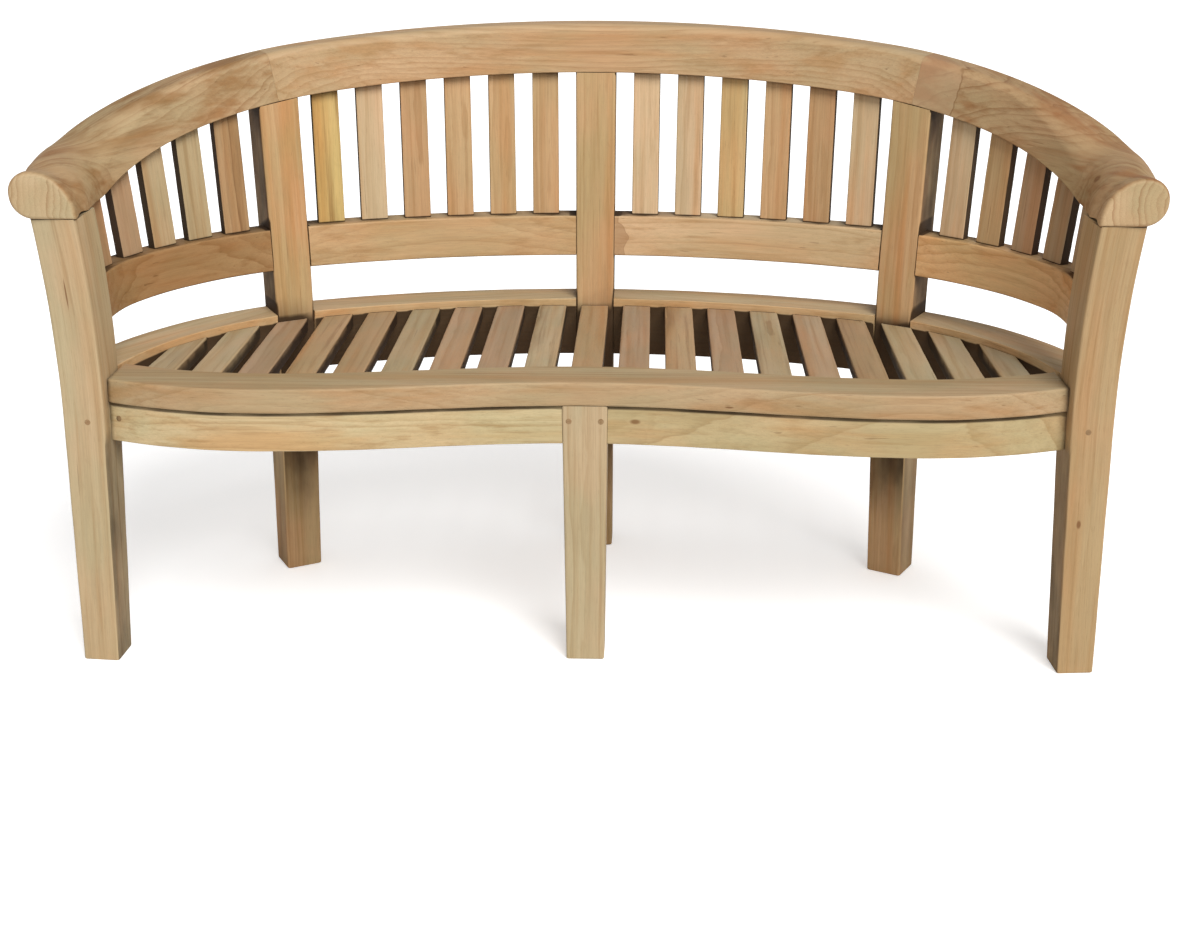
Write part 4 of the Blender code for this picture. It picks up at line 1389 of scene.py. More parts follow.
@dataclass
class Bays:
    """The spaces between legs that rails fill."""

    front: FrontLegs
    back: BackLegs

    def ends(self, side: int, in_arm: bool) -> tuple[tuple[float, Ending], tuple[float, Ending]]:
        """Gives the two ends of a bay.

        Args:
            side: Half of the bench, -1 or 1.
            in_arm: Whether the bay is in an arm, rather than behind the seat.

        Returns:
            For each end, the angle it lies near and what gives its exact angle for a point.
        """
        leg = self.back.side_angle
        if in_arm:
            return ((leg, lambda offset, height: side * self.back.beside(leg, 1, offset, height)),
                    (self.front.end_angle(0.0, LEVELS.seat),
                     lambda offset, height: side * self.front.end_angle(offset, height)))
        return ((0.0, lambda offset, height: side * self.back.beside(0.0, 1, offset, height)),
                (leg, lambda offset, height: side * self.back.beside(leg, -1, offset, height)))

    @property
    def seat_lean(self) -> float:
        """Gives the offset of the inner faces behind the seat slats."""
        return CURVE.lean(0.0, LEVELS.seat - LEVELS.slat_drop - LEVELS.slat_thickness / 2)

    def sweep(self, marks_at: Callable[[float], list[Mark]], side: int, in_arm: bool, steps: int,
              upright: bool) -> Board:
        """Sweeps a section of offsets and heights from one leg to the next.

        Args:
            marks_at: Gives the section at a distance along the rail.
            side: Half of the bench, -1 or 1.
            in_arm: Whether the bay is in an arm, rather than behind the seat.
            steps: Number of facets along the rail.
            upright: Whether the rail stands upright, rather than leaning with the back.

        Returns:
            The rail.
        """
        (near, first_end), (far, last_end) = self.ends(side, in_arm)

        def offset(mark: Mark, angle: float) -> float:
            """Gives the offset of a mark at an angle."""
            return mark.u + (self.seat_lean if upright else CURVE.lean(angle, mark.v))

        def place(mark: Mark, share: float) -> Point:
            """Gives the place of a mark at a share of the way."""
            angle = blend(first_end(offset(mark, near), mark.v), last_end(offset(mark, far), mark.v), share)
            return *CURVE.point(angle, offset(mark, angle)), mark.v

        board = Board(Plank.between(CURVE.point(side * near, 0.0), CURVE.point(side * far, 0.0),
                                    LEVELS.lower_rail_bottom))
        along = 0.0
        for k in range(steps + 1):
            marks = marks_at(along)
            ring = [place(mark, k / steps) for mark in marks]
            if board.points:
                along += (Vector(ring[0]) - Vector(board.points[-board.ring_size])).length
            board.add(ring, marks)
        return board


@dataclass
class BackRails:
    """The lower rails of the back and the arms."""

    bays: Bays
    depth: float = 0.043
    ease: Ease = Ease(0.0028)
    mid_steps: int = 40
    arm_steps: int = 48

    def section(self, along: float, seed: int) -> list[Mark]:
        """Gives the section of a rail at a distance along it."""
        return rounded_section((0.0, LEVELS.lower_rail_bottom), (self.depth, LEVELS.lower_rail_top),
                               [self.ease.at(along, seed)] * 4)

    def build(self, shop: Workshop) -> None:
        """Builds the four rails.

        Args:
            shop: The workshop.
        """
        for side in Side:
            for in_arm, word, steps in ((False, "mid", self.mid_steps), (True, "arm", self.arm_steps)):
                seed = 2 * side.value + in_arm
                board = self.bays.sweep(lambda along: self.section(along, seed), side.value, in_arm,
                                        steps, upright=False)
                shop.make("lower_rail_%s_%s" % (word, side.word), board)


@dataclass
class BackSlats:
    """The upright slats of the back and the arms."""

    bays: Bays
    width: float = 0.042
    thickness: float = 0.015
    ease: Ease = Ease(0.0016)
    hold: float = 0.0012
    facets: int = 3
    # Painted shade on the side faces, in the slots between slats
    side_shade: float = 0.62
    mid_shares: Flat = (0.1617, 0.1398)
    mid_count: int = 6
    arm_shares: Flat = (0.2005, 0.1587)
    arm_count: int = 4
    front_share: float = 0.8668
    steps: int = 10

    def angles(self) -> list[tuple[str, float, tuple[str, ...]]]:
        """Finds where the slats stand.

        Returns:
            The name, the angle and the CAD nodes of each slat.
        """
        found = []
        mid = self.bays.back.spacing / CURVE.back_radius
        leg = self.bays.back.side_angle
        end = self.bays.front.end_angle(0.0, LEVELS.seat)
        for side in Side:
            for word, low, high, (first, step), count in (
                    ("mid", 0.0, mid, self.mid_shares, self.mid_count),
                    ("arm", leg, end, self.arm_shares, self.arm_count)):
                for i in range(count):
                    name = "back_slat_%s_%s_%d" % (word, side.word, i + 1)
                    found.append((name, side.value * blend(low, high, first + step * i), (name,)))
            angle = side.value * blend(leg, end, self.front_share)
            found.append(("back_slat_front_" + side.word, angle, ("lower_rail_arm_" + side.word,)))
        return found

    def build(self, shop: Workshop) -> None:
        """Builds the slats."""
        for seed, (name, angle, nodes) in enumerate(self.angles()):
            shop.make(name, self.slat(angle, seed), nodes)

    def slat(self, angle: float, seed: int) -> Board:
        """Shapes one slat between the lower rail and the top rail.

        Args:
            angle: Its angle round the back.
            seed: Number that sets its arrises apart from others.

        Returns:
            The slat.
        """
        board = Board(side_shade=self.side_shade)
        low = LEVELS.lower_rail_top + GAP
        half, deep = self.width / 2, self.thickness / 2
        for share in close_ends(self.steps):
            marks = rounded_section((-half, -deep), (half, deep), [self.ease.at(share, seed)] * 4,
                                    self.facets, self.hold)
            board.add([self.place(angle, mark, low, share) for mark in marks], marks,
                      blend(low, LEVELS.rail_low(angle), share))
        return board

    def place(self, angle: float, mark: Mark, low: float, share: float) -> Point:
        """Gives the place of a mark at a share of the way up to the top rail.

        Args:
            angle: The slat's angle round the back.
            mark: The mark.
            low: Height of the slat's lower end.
            share: Share of the way up.

        Returns:
            The place.
        """
        high = LEVELS.under_rail(*self.slat_point(angle, mark, LEVELS.rail_back))
        high = LEVELS.under_rail(*self.slat_point(angle, mark, high))
        height = blend(low, high, share)
        return *self.slat_point(angle, mark, height), height

    @staticmethod
    def slat_point(angle: float, mark: Mark, height: float) -> Flat:
        """Gives the plan point of a slat's mark.

        Args:
            angle: The slat's angle round the back.
            mark: The mark.
            height: Its height.

        Returns:
            Its x and y.
        """
        tilt = math.atan(CURVE.slope(angle))
        offset = BackRails.depth / 2 + CURVE.lean(angle, height) + mark.v / math.cos(tilt)
        x, y = CURVE.point(angle, offset)
        return x + mark.u * math.cos(angle), y - mark.u * math.sin(angle)


@dataclass
class TopRail:
    """The top rail: upright at the back and rolled over at the arms, in three pieces."""

    legs: BackLegs
    depths: Flat = (0.062, 0.0895)
    rises: Flat = (0.076, 0.066)
    inner_round: float = 0.012
    outer_round: float = 0.016
    lower_round: float = 0.006
    arm_inner: Flat = (0.056, 0.062)
    arm_outer: float = 0.031
    inner_lower: float = 0.002
    roll_from: float = math.radians(46.0)
    roll_full: float = math.radians(81.0)
    rise_from: float = math.radians(68.0)
    seam_lean: float = 0.011
    overhang: float = 0.004
    end_round: float = 0.006
    end_inset: Flat = (0.3, 0.7)
    hollow_length: float = 0.052
    hollow_depth: float = 0.0030
    inset: float = 0.00012
    crowding: float = 0.5
    steps: int = 64
    lower_steps: int = 3
    corner_steps: int = 9
    end_steps: int = 6

    def section(self, angle: float, inset: float = 0.0) -> list[Mark]:
        """Gives the section before it leans.

        Args:
            angle: Angle round the back.
            inset: How much smaller the section is on every side.

        Returns:
            The points, anticlockwise from the inner lower corner.
        """
        roll = smooth_share(abs(angle), self.roll_from, self.roll_full)
        end = smooth_share(abs(angle), self.rise_from, math.pi / 2)
        depth = blend(*self.depths, roll)
        rise = blend(*self.rises, end)
        inner_u, inner_v = (blend(self.inner_round, radius, roll) for radius in self.arm_inner)
        outer = blend(self.outer_round, self.arm_outer, roll)
        lower = blend(self.lower_round, self.arm_outer, roll)
        small = self.inner_lower
        cut = inset + self.inset
        steps = self.corner_steps
        return [
            *corner((small + inset, small + inset), (small, small), 180, self.lower_steps),
            *corner((depth - lower, lower), (lower - cut, lower - inset), 270, steps),
            *corner((depth - outer, rise - outer), (outer - cut, outer - cut), 0, steps),
            *corner((inner_u, rise - inner_v), (inner_u - inset, inner_v - cut), 90, steps)]

    def ring(self, angle_of: Callable[[float], float],
             inset: float = 0.0) -> tuple[list[Point], list[Mark]]:
        """Gives one ring, whose points may lie at different angles.

        Args:
            angle_of: Gives the angle at a share of the rail's rise.
            inset: How much smaller the section is on every side.

        Returns:
            Its points and its marks.
        """
        marks = self.section(angle_of(0.0), inset)
        rise = max(mark.v for mark in marks)
        points = []
        for mark in marks:
            angle = angle_of(mark.v / rise)
            low = LEVELS.rail_low(angle)
            slope = CURVE.slope(angle)
            offset = (low - CURVE.bend_height) * slope + mark.u + mark.v * slope
            points.append((*CURVE.point(angle, offset), low + mark.v))
        return points, marks

    def seam(self, side: int, share: float, gap: float) -> float:
        """Gives the angle of the seam over a side back leg at a share of the rail's rise."""
        radius = CURVE.arm_radius + CURVE.lean(self.legs.side_angle, LEVELS.rail_back)
        return side * (self.legs.side_angle + (self.seam_lean * share + gap) / radius)

    def end_angle(self) -> float:
        """Gives the angle at which the curve of an arm reaches the round of its end."""
        run = (LEVELS.rail_arm - CURVE.bend_height) * math.tan(CURVE.end_recline)
        return math.acos((self.end_y - CURVE.arm_y) / (CURVE.arm_radius + run))

    @property
    def end_y(self) -> float:
        """Gives the y at which the round of an arm's end starts."""
        return self.end_round - self.overhang - CURVE.centre_y

    def hollow(self, distance: float) -> float:
        """Gives the depth of the shallow hollow behind an arm's end, at a distance from it."""
        share = min(distance / self.hollow_length, 1.0)
        return self.hollow_depth * math.sin(math.pi * share) ** 2

    def build(self, shop: Workshop) -> None:
        """Builds the three pieces.

        Args:
            shop: The workshop.
        """
        shop.make("top_rail_centre", self.centre())
        for side in Side:
            shop.make("top_rail_arm_" + side.word, self.arm(side.value))

    def centre(self) -> Board:
        """Shapes the middle piece.

        Returns:
            The piece, from seam to seam.
        """
        board = Board(Plank((*CURVE.point(0.0, 0.0), LEVELS.rail_back)))
        for k in range(-self.steps, self.steps + 1):
            share = abs(k) / self.steps
            side = -1 if k < 0 else 1
            board.add(*self.ring(lambda up: self.seam(side, up, -GAP / 2) * share))
        return board

    def arm(self, side: int) -> Board:
        """Shapes an arm's piece.

        Args:
            side: Half of the bench, -1 or 1.

        Returns:
            The piece, from the seam to its rounded end.
        """
        first, last = self.seam(side, 0.0, 0.0), side * self.end_angle()
        board = Board(Plank.between(CURVE.point(first, 0.0), CURVE.point(last, 0.0), LEVELS.rail_arm))
        length = CURVE.arm_radius * abs(last - first)
        for k in range(self.steps + 1):
            share = k / self.steps * (1 + self.crowding - self.crowding * k / self.steps)
            points, marks = self.ring(lambda up: blend(self.seam(side, up, GAP / 2), last, share),
                                      self.hollow(length * (1 - share)))
            if k == self.steps:
                points = [(x, self.end_y, z) for x, _, z in points]
            board.add(points, marks)
        for i in range(1, self.end_steps + 1):
            board.add(*self.end_ring(last, i))
        return board

    def end_ring(self, last: float, i: int) -> tuple[list[Point], list[Mark]]:
        """Gives one ring of the round at an arm's end.

        Args:
            last: Angle at which the round starts.
            i: Number of the ring.

        Returns:
            Its points and its marks.
        """
        turn = math.pi / 2 * i / self.end_steps
        inset = self.end_round * (1 - math.cos(turn))
        points, marks = self.ring(lambda up: last, inset * self.end_inset[0])
        middle = Vector((sum(p[0] for p in points), 0, sum(p[2] for p in points))) / len(points)
        ring = []
        for x, _, z in points:
            away = Vector((x - middle.x, 0, z - middle.z))
            away *= 1 - self.end_inset[1] * inset / away.length
            ring.append((middle.x + away.x, self.end_y - self.end_round * math.sin(turn),
                         middle.z + away.z))
        arris = math.sin(math.pi * i / self.end_steps)
        end = smooth_share(i, self.end_steps / 3, self.end_steps - 1)
        return ring, [replace(mark, arris=arris, end=end) for mark in marks]


@dataclass
class SeatFrame:
    """The front board, the aprons under it and the seat rails."""

    bays: Bays
    board_width: float = 0.075
    hollow_y: float = 0.022
    bulge_y: float = -0.024
    bulge_x: float = 0.460
    end_y: float = 0.018
    front_ease: Ease = Ease(0.0034)
    back_ease: Ease = Ease(0.0014)
    apron_setback: float = 0.004
    apron_thickness: float = 0.030
    apron_height: float = 0.056
    # Painted shadow under the board's overhang: the line that ends it, the band it covers and its strength
    apron_line: float = 0.008
    apron_shadow_band: float = 0.005
    apron_shade: float = 0.48
    apron_ease: float = 0.6
    apron_round: float = 0.001
    rail_depth: float = 0.065
    face_lines: Point = (0.009, 0.014, 0.030)
    board_steps: int = 150
    apron_steps: int = 70
    rail_steps: int = 40

    def wave(self, x: float) -> float:
        """Gives the y of the board's front edge: a hollow at the centre between two bulges.

        Args:
            x: The x.

        Returns:
            The y.
        """
        x = abs(x)
        if x < self.bulge_x:
            wave = (1 + math.cos(math.pi * x / self.bulge_x)) / 2
            return self.bulge_y + (self.hollow_y - self.bulge_y) * wave - CURVE.centre_y
        share = (x - self.bulge_x) / (self.end_x - self.bulge_x)
        return self.bulge_y + (self.end_y - self.bulge_y) * share * share - CURVE.centre_y

    @property
    def end_x(self) -> float:
        """Gives the x of the board's front corner."""
        return self.bays.front.inner_x(self.end_y - CURVE.centre_y, LEVELS.board_bottom)

    def rail_face_y(self, x: float) -> float:
        """Gives the y of the seat rails' inner face, less the gap.

        Args:
            x: The x.

        Returns:
            The y.
        """
        x = abs(x)
        lean = self.bays.seat_lean
        radius = CURVE.back_radius + lean - GAP
        if x <= radius * math.sin(CURVE.join_angle):
            return CURVE.back_y + math.sqrt(radius ** 2 - x ** 2)
        radius = CURVE.arm_radius + lean - GAP
        return CURVE.arm_y + math.sqrt(radius ** 2 - (x - CURVE.arm_x) ** 2)

    def build(self, shop: Workshop) -> None:
        """Builds the board, the aprons and the rails.

        Args:
            shop: The workshop.
        """
        shop.make("seat_front_board", self.board())
        for side in Side:
            shop.make("front_apron_" + side.word, self.apron(side.value))
            for in_arm, word in ((False, "mid"), (True, "arm")):
                rail = self.bays.sweep(self.rail_section, side.value, in_arm, self.rail_steps,
                                       upright=True)
                shop.make("seat_rail_%s_%s" % (word, side.word), rail)

    def plank(self) -> Plank:
        """Gives the plank of the board and the aprons."""
        return Plank((0.0, self.wave(0.0), LEVELS.board_bottom))

    def board(self) -> Board:
        """Shapes the kidney board.

        Returns:
            The board.
        """
        board = Board(self.plank())
        low, high = (GAP / 2, LEVELS.board_bottom), (self.board_width, LEVELS.seat)
        back_end_y = self.end_y + self.board_width - CURVE.centre_y
        back_end_x = self.bays.front.inner_x(back_end_y, LEVELS.board_bottom)
        for k in range(self.board_steps + 1):
            share = blend(-1, 1, k / self.board_steps)
            front_x, back_x = share * self.end_x, share * back_end_x
            front, back = self.front_ease.at(front_x, 1), self.back_ease.at(front_x, 4)
            marks = rounded_section(low, high, [front, back, back, front])
            back_y = min(self.wave(back_x) + self.board_width, self.rail_face_y(back_x))
            room = (back_y - self.wave(back_x)) / self.board_width
            ring = []
            for mark in marks:
                part = mark.u / self.board_width
                x = blend(front_x, back_x, part)
                ring.append((x, self.wave(x) + mark.u * blend(1.0, room, part), mark.v))
            board.add(ring, marks)
        return board

    def apron(self, side: int) -> Board:
        """Shapes the curved apron under one half of the board.

        Args:
            side: Half of the bench, -1 or 1.

        Returns:
            The apron.
        """
        board = Board(self.plank(), self.apron_shade)
        top = LEVELS.board_bottom - GAP
        low, high = (0.0, top - self.apron_height), (self.apron_thickness, top)
        legs = self.bays.front
        for k in range(self.apron_steps + 1):
            share = k / self.apron_steps
            front = self.front_ease.at(share, 9) * self.apron_ease
            marks = rounded_section(low, high, [front, front, self.apron_round, self.apron_round], 3)
            # A painted shadow along the top of the front face, under the board's overhang; the extra line
            # below ends it
            marks = [replace(mark, side=float(mark.v > top - self.apron_shadow_band)) for mark in marks]
            marks.append(Mark(0.0, top - self.apron_line))
            ring = []
            for mark in marks:
                first = blend(*legs.centre_widths, mark.v / LEVELS.board_bottom) / 2 + GAP
                y = self.end_y + self.apron_setback + mark.u - CURVE.centre_y
                x = blend(first, legs.inner_x(y, mark.v), share)
                ring.append((side * x, self.wave(x) + self.apron_setback + mark.u, mark.v))
            board.add(ring, marks)
        return board

    def rail_section(self, along: float) -> list[Mark]:
        """Gives the section of a seat rail.

        Args:
            along: Distance along the rail.

        Returns:
            The points, with those of lines along its inner face at the end.
        """
        inner, outer = self.back_ease.at(along, 3), self.front_ease.at(along, 6)
        marks = rounded_section((0.0, LEVELS.seat_rail_bottom), (self.rail_depth, LEVELS.seat_rail_top),
                                [inner, outer, outer, inner])
        return marks + [Mark(0.0, LEVELS.seat_rail_top - drop) for drop in self.face_lines]


@dataclass
class SeatSlats:
    """The slats of the seat, from the front board back to the rails and legs."""

    frame: SeatFrame
    width: float = 0.044
    pitch_share: float = 0.0971
    count: int = 19
    front_drop: float = 0.001
    ease: Ease = Ease(0.0024)
    hold: float = 0.002
    facets: int = 3
    # Painted shade on the side faces, less of it at the top edge
    side_shade: float = 0.62
    side_shade_at_top: float = 0.35
    steps: int = 14

    def back_y(self, x: float, height: float, leg_angle: float | None) -> float:
        """Gives the y at which a slat ends.

        Args:
            x: The x of a point of the slat.
            height: Its height.
            leg_angle: Angle of the leg that the slat ends at, or None for a rail.

        Returns:
            The y.
        """
        curve = self.frame.rail_face_y(x)
        if leg_angle is None:
            return curve
        face_x, face_y = CURVE.point(leg_angle, CURVE.lean(leg_angle, height) - GAP)
        return min(face_y - (x - face_x) * math.tan(leg_angle), curve)

    def leg_behind(self, centre_x: float) -> float | None:
        """Finds the back leg that a slat ends at.

        Args:
            centre_x: The x of the slat's centre line.

        Returns:
            The leg's angle round the back, or None if the slat ends at a rail.
        """
        legs = self.frame.bays.back
        for angle in (-legs.side_angle, 0.0, legs.side_angle):
            reach = legs.width(LEVELS.seat) / 2 * math.cos(angle)
            if abs(centre_x - CURVE.point(angle, self.frame.bays.seat_lean)[0]) < reach:
                return angle
        return None

    def build(self, shop: Workshop) -> None:
        """Builds the slats.

        Args:
            shop: The workshop.
        """
        pitch = self.frame.bays.front.foot_x * self.pitch_share
        for i in range(self.count):
            slat = self.slat((i - (self.count - 1) / 2) * pitch, i)
            shop.make("seat_slat_%02d" % (i + 1), slat)

    def slat(self, centre_x: float, seed: int) -> Board:
        """Shapes one slat.

        Args:
            centre_x: The x of its centre line.
            seed: Number that sets its arrises apart from others.

        Returns:
            The slat.
        """
        board = Board(side_shade=self.side_shade)
        leg = self.leg_behind(centre_x)
        half, deep = self.width / 2, LEVELS.slat_thickness
        for share in close_ends(self.steps):
            top = LEVELS.seat - blend(self.front_drop, LEVELS.slat_drop, share)
            marks = rounded_section((-half, -deep), (half, 0.0), [self.ease.at(share, seed)] * 4,
                                    self.facets, self.hold)
            # Painted shade on the side faces, less near the top
            marks = [replace(mark, side=mark.side * blend(self.side_shade_at_top, 1.0, -mark.v / deep))
                     for mark in marks]
            ring = []
            for mark in marks:
                x, height = centre_x + mark.u, top + mark.v
                front = self.frame.wave(x) + self.frame.board_width + GAP
                ring.append((x, blend(front, self.back_y(x, height, leg), share), height))
            board.add(ring, marks, ring[0][1])
        return board


@dataclass(frozen=True)
class Pegs:
    """The round pegs that pin the aprons to the front legs, cut flush and a little domed."""

    seat: SeatFrame
    radius: float = 0.0042
    deep: float = 0.003
    proud: float = 0.0003
    shoulder: Flat = (0.6, 0.9)
    crown: float = 0.55
    sides: int = 28
    insets: Point = (0.024, 0.0095, 0.014)
    height: float = 0.360
    probe: float = 0.001

    def build(self, shop: Workshop) -> None:
        """Builds the five pegs.

        Args:
            shop: The workshop.
        """
        front = self.seat.bays.front
        leg_x, leg_y = front.point(self.insets[0] - front.size(self.height)[1] / 2, 0.0, self.height)
        centre_x = front.centre_widths[1] / 2 - self.insets[1]
        centre_y = front.centre_face_y - CURVE.centre_y
        places = []
        for side in Side:
            places += [("leg_" + side.word, (side.value * leg_x, leg_y), side.value * front.turn),
                       ("centre_" + side.word, (side.value * centre_x, centre_y), 0.0)]
        x = self.insets[2] - self.seat.end_x
        rise = self.seat.wave(x + self.probe) - self.seat.wave(x - self.probe)
        face = (x, self.seat.wave(x) + self.seat.apron_setback)
        places.append(("apron_left", face, math.atan(rise / (2 * self.probe))))
        for word, face, turn in places:
            shop.make("peg_" + word, self.peg(face, turn), ())

    def peg(self, face: Flat, turn: float) -> Board:
        """Shapes one peg.

        Args:
            face: Plan point of its end in the face of a leg or an apron.
            turn: How far that face is turned about Z.

        Returns:
            The peg.
        """
        board = Board()
        levels = ((-self.deep, 1.0), (0.0, 1.0), (self.proud * self.shoulder[0], self.shoulder[1]),
                  (self.proud, self.crown))
        angles = [math.tau * i / self.sides for i in range(self.sides)]
        for out, share in levels:
            marks = [Mark(self.radius * share * math.cos(angle), self.radius * share * math.sin(angle))
                     for angle in angles]
            ring = [(face[0] + mark.u * math.cos(turn) + out * math.sin(turn),
                     face[1] + mark.u * math.sin(turn) - out * math.cos(turn), self.height + mark.v)
                    for mark in marks]
            board.add(ring, marks, out)
        return board


@dataclass
class Studio:
    """Floor, light and camera."""

    floor_size: float = 24.0
    floor_colour: Colour = (0.95, 0.95, 0.95)
    floor_roughness: float = 0.9
    floor_glow: float = 0.42
    fill: float = 0.42
    key_strength: float = 2.75
    key_spread: float = math.radians(34)
    key_from: Point = (0.50, -0.95, 1.15)
    camera_place: Point = (0.0974, -2.7512, 1.2318)
    camera_pitch: float = math.radians(76.716)
    camera_turn: float = math.radians(1.7453)
    film_width: float = 36
    lens: float = 56.618
    shift: float = -0.20

    def build(self) -> None:
        """Builds everything round the bench."""
        self.build_floor()
        self.build_world()
        self.build_key()
        self.build_camera()

    @staticmethod
    def add(name: str, data: bpy.types.ID) -> bpy.types.Object:
        """Adds an object to the scene.

        Args:
            name: Its name.
            data: Its mesh, light or camera.

        Returns:
            The object.
        """
        thing = bpy.data.objects.new(name, data)
        bpy.context.scene.collection.objects.link(thing)
        return thing

    def build_floor(self) -> None:
        """Builds the pale floor, which glows a little for the camera alone."""
        half = self.floor_size / 2
        mesh = bpy.data.meshes.new("floor")
        mesh.from_pydata([(-half, -half, 0), (half, -half, 0), (half, half, 0), (-half, half, 0)], [],
                         [(0, 1, 2, 3)])
        material = bpy.data.materials.new("floor")
        material.use_nodes = True
        w = Wiring(material.node_tree)
        seen = w.node('LightPath').outputs["Is Camera Ray"]
        w.feed(w.tree.nodes["Principled BSDF"], Base_Color=(*self.floor_colour, 1),
               Roughness=self.floor_roughness, Specular_IOR_Level=0.0, Emission_Color=WHITE,
               Emission_Strength=w.maths('MULTIPLY', seen, self.floor_glow))
        mesh.materials.append(material)
        floor = self.add("floor", mesh)

    def build_world(self) -> None:
        """Builds even light from all round, which the camera sees as white."""
        world = bpy.data.worlds.new("studio")
        bpy.context.scene.world = world
        world.use_nodes = True
        world.node_tree.nodes.clear()
        w = Wiring(world.node_tree)
        seen = w.node('LightPath').outputs["Is Camera Ray"]
        light = w.feed(w.node('Background'), Color=WHITE, Strength=self.fill)
        white = w.feed(w.node('Background'), Color=WHITE)
        both = w.node('MixShader', seen, light.outputs[0], white.outputs[0])
        w.feed(w.node('OutputWorld'), Surface=both.outputs[0])

    def build_key(self) -> None:
        """Builds the broad key light from the front and above."""
        lamp = bpy.data.lights.new("key_lamp", 'SUN')
        lamp.energy = self.key_strength
        lamp.angle = self.key_spread
        holder = self.add("key_lamp", lamp)
        holder.location = self.key_from
        holder.rotation_euler = (-Vector(self.key_from)).to_track_quat('-Z', 'Y').to_euler()

    def build_camera(self) -> None:
        """Builds the camera at the photograph's angle."""
        lens = bpy.data.cameras.new("camera")
        lens.sensor_width = self.film_width
        lens.lens = self.lens
        lens.shift_y = self.shift
        camera = self.add("camera", lens)
        camera.location = self.camera_place
        camera.rotation_euler = (self.camera_pitch, 0, self.camera_turn)
        bpy.context.scene.camera = camera


def slat_tones() -> dict[str, Colour]:
    """Gives the colours of the slats.

    Returns:
        The colour of each slat of the back, the arms and the seat by its name.
    """
    rows = {
        "back_slat_mid_left_": (Tone.TAN, Tone.HONEY, Tone.TAN, Tone.RUSSET, Tone.ASH, Tone.GOLDEN),
        "back_slat_mid_right_": (Tone.ASH, Tone.ASH, Tone.GOLDEN, Tone.TAN, Tone.RUSSET, Tone.ASH),
        "back_slat_arm_left_": (Tone.BROWN, Tone.KHAKI, Tone.KHAKI, Tone.ROSE),
        "back_slat_arm_right_": (Tone.ASH, Tone.HONEY, Tone.ROSE, Tone.ROSE),
    }
    found = {"back_slat_front_" + side.word: Tone.ROSE.value for side in Side}
    for start, tones in rows.items():
        found.update({"%s%d" % (start, i): tone.value for i, tone in enumerate(tones, 1)})
    kinds = {"K": Tone.KHAKI, "R": Tone.ROSE, "B": Tone.BROWN}
    for i, kind in enumerate("KKRBBKRRKBRBRKRBKKK"):
        found["seat_slat_%02d" % (i + 1)] = kinds[kind].times(1 + TONE_VARY * math.sin(TONE_TURN * i))
    return found


def leg_finishes() -> dict[str, TeakFinish]:
    """Gives the finishes of the legs and the pegs.

    Returns:
        The finish of each by its name.
    """
    leg = TeakFinish((0.465, 0.362, 0.224), heart=(0.02, -0.08), spacing=0.007, streak_share=0.5)
    post = TeakFinish((0.515, 0.345, 0.180), heart=(0.02, -0.06), spacing=0.006, streak_share=0.9,
                      olive=(0.93, 0.975, 0.90), rosy=(1.07, 0.98, 0.94))
    peg = replace(leg, tone=Tone.BROWN.times(0.72), line_share=0.8)
    found = {"peg_" + word: peg for word in (
        "leg_left", "leg_right", "centre_left", "centre_right", "apron_left")}
    found.update({"back_leg_" + word: post for word in ("left", "centre", "right")})
    found["front_leg_centre"] = leg
    found["front_leg_left"] = replace(
        leg, tone=Tone.CREAM.value, knot=Knot((0.545, 0.001, 0.0), 0.0015, 18.0))
    found["front_leg_right"] = replace(
        leg, tone=Tone.HONEY.times(0.84), knot=Knot((0.225, -0.010, 0.0), 0.004))
    return found


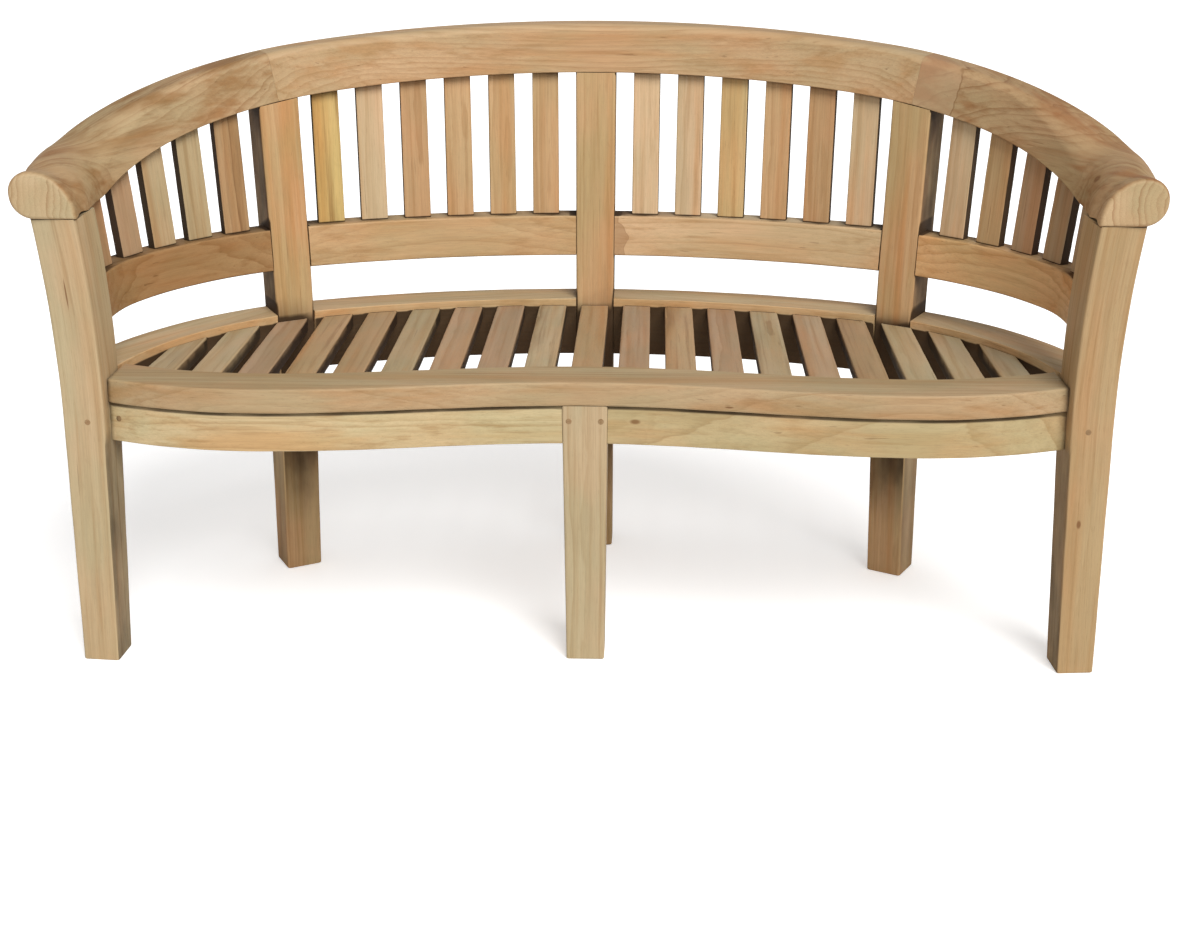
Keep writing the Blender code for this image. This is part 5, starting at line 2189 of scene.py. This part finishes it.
def rail_finishes() -> dict[str, TeakFinish]:
    """Gives the finishes of the rails, the front board and the aprons.

    Returns:
        The finish of each by its name.
    """
    rail = TeakFinish(Tone.HONEY.value, heart=(0.03, 0.09), spacing=0.007)
    broad = replace(rail, ring_share=0.95, spacing=0.011, wander=0.022)
    seat = replace(rail, tone=Tone.HONEY.times(1.12), grey_and_shade_share=0.85)
    top = TeakFinish((0.495, 0.335, 0.186), heart=(0.03, -0.06), spacing=0.008)
    arm = replace(top, grey_and_shade=(0.74, 0.69, 0.64), grey_and_shade_share=0.95, spacing=0.007, ring_share=0.85,
                  streak_share=1.0, streak_from=0.42, line_share=0.5, heart=(0.16, 0.02))
    apron = TeakFinish(Tone.STRAW.value, heart=(0.20, 0.02), spacing=0.008, line_share=0.4)
    return {
        "top_rail_centre": top,
        "top_rail_arm_left": replace(
            arm, tone=(0.455, 0.325, 0.183), streak=(0.74, 0.57, 0.43), dark=(0.60, 0.46, 0.34)),
        "top_rail_arm_right": replace(
            arm, tone=(0.455, 0.308, 0.165), streak=(0.78, 0.56, 0.44), dark=(0.60, 0.43, 0.32),
            patch_reach=0.026, knot=Knot((0.34, 0.085, 0.045), 0.008)),
        "lower_rail_mid_left": rail,
        "lower_rail_mid_right": replace(
            rail, tone=(0.60, 0.42, 0.245), patch_reach=0.040, patch_tint=(0.50, 0.38, 0.29),
            knot=Knot((0.042, 0.0, 0.040), 0.007)),
        "lower_rail_arm_left": replace(broad, tone=(0.345, 0.200, 0.088)),
        "lower_rail_arm_right": replace(broad, tone=(0.62, 0.39, 0.190)),
        "seat_front_board": TeakFinish(
            (0.425, 0.303, 0.171), heart=(0.10, 0.09), spacing=0.007, grey_and_shade_share=0.45,
            knot=Knot((0.20, -0.0183, 0.007), 0.0018, 6.0)),
        "front_apron_left": replace(
            apron, tone=(0.53, 0.415, 0.236), heart=(0.06, 0.26), line_share=0.6,
            dark=(0.66, 0.52, 0.38)),
        "front_apron_right": replace(
            apron, tone=Tone.STRAW.times(0.88), knot=Knot((0.07, 0.0, -0.022), 0.005)),
        "seat_rail_mid_left": seat, "seat_rail_mid_right": seat,
        "seat_rail_arm_left": seat, "seat_rail_arm_right": seat}


def slat_finishes() -> dict[str, TeakFinish]:
    """Gives the finishes of the slats.

    Returns:
        The finish of each by its name; a few show a bolder figure.
    """
    slat = TeakFinish(Tone.TAN.value, heart=(0.01, -0.05), spacing=0.006)
    found = {name: replace(slat, tone=tone) for name, tone in slat_tones().items()}
    bold = {"dark": (0.52, 0.40, 0.30), "ring_share": 1.0, "spacing": 0.016, "wander": 0.03}
    for i in (4, 9, 12, 14, 16):
        name = "seat_slat_%02d" % i
        found[name] = replace(found[name], **bold)
    found["back_slat_mid_left_6"] = replace(
        slat, tone=Tone.GOLDEN.value, dark=(0.52, 0.40, 0.30), line_share=0.95, ring_share=0.9)
    found["back_slat_mid_right_1"] = replace(slat, tone=Tone.ASH.times(1.1))
    found["back_slat_mid_right_3"] = replace(
        slat, tone=(0.58, 0.41, 0.20), dark=(0.52, 0.38, 0.27), ring_share=1.0, spacing=0.013,
        wander=0.022)
    found["back_slat_arm_left_1"] = replace(
        slat, tone=Tone.BROWN.value, dark=(0.50, 0.38, 0.28), ring_share=1.0,
        heart=(0.016, -0.012), spacing=0.011)
    return found


def main() -> None:
    """Builds the bench and the studio."""
    logging.basicConfig(level=logging.INFO, format="%(message)s")
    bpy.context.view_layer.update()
    shop = Workshop({**leg_finishes(), **rail_finishes(), **slat_finishes()})
    front, back = FrontLegs(), BackLegs()
    bays = Bays(front, back)
    seat = SeatFrame(bays)
    for part in (front, back, BackRails(bays), BackSlats(bays), TopRail(back), seat,
                 SeatSlats(seat), Pegs(seat)):
        part.build(shop)
    # Painted shade in slots, in corners and under the seat
    Grime().gather(shop.pieces)
    Studio().build()
    bpy.context.scene.view_settings.view_transform = 'Standard'


if __name__ == "__main__":
    main()
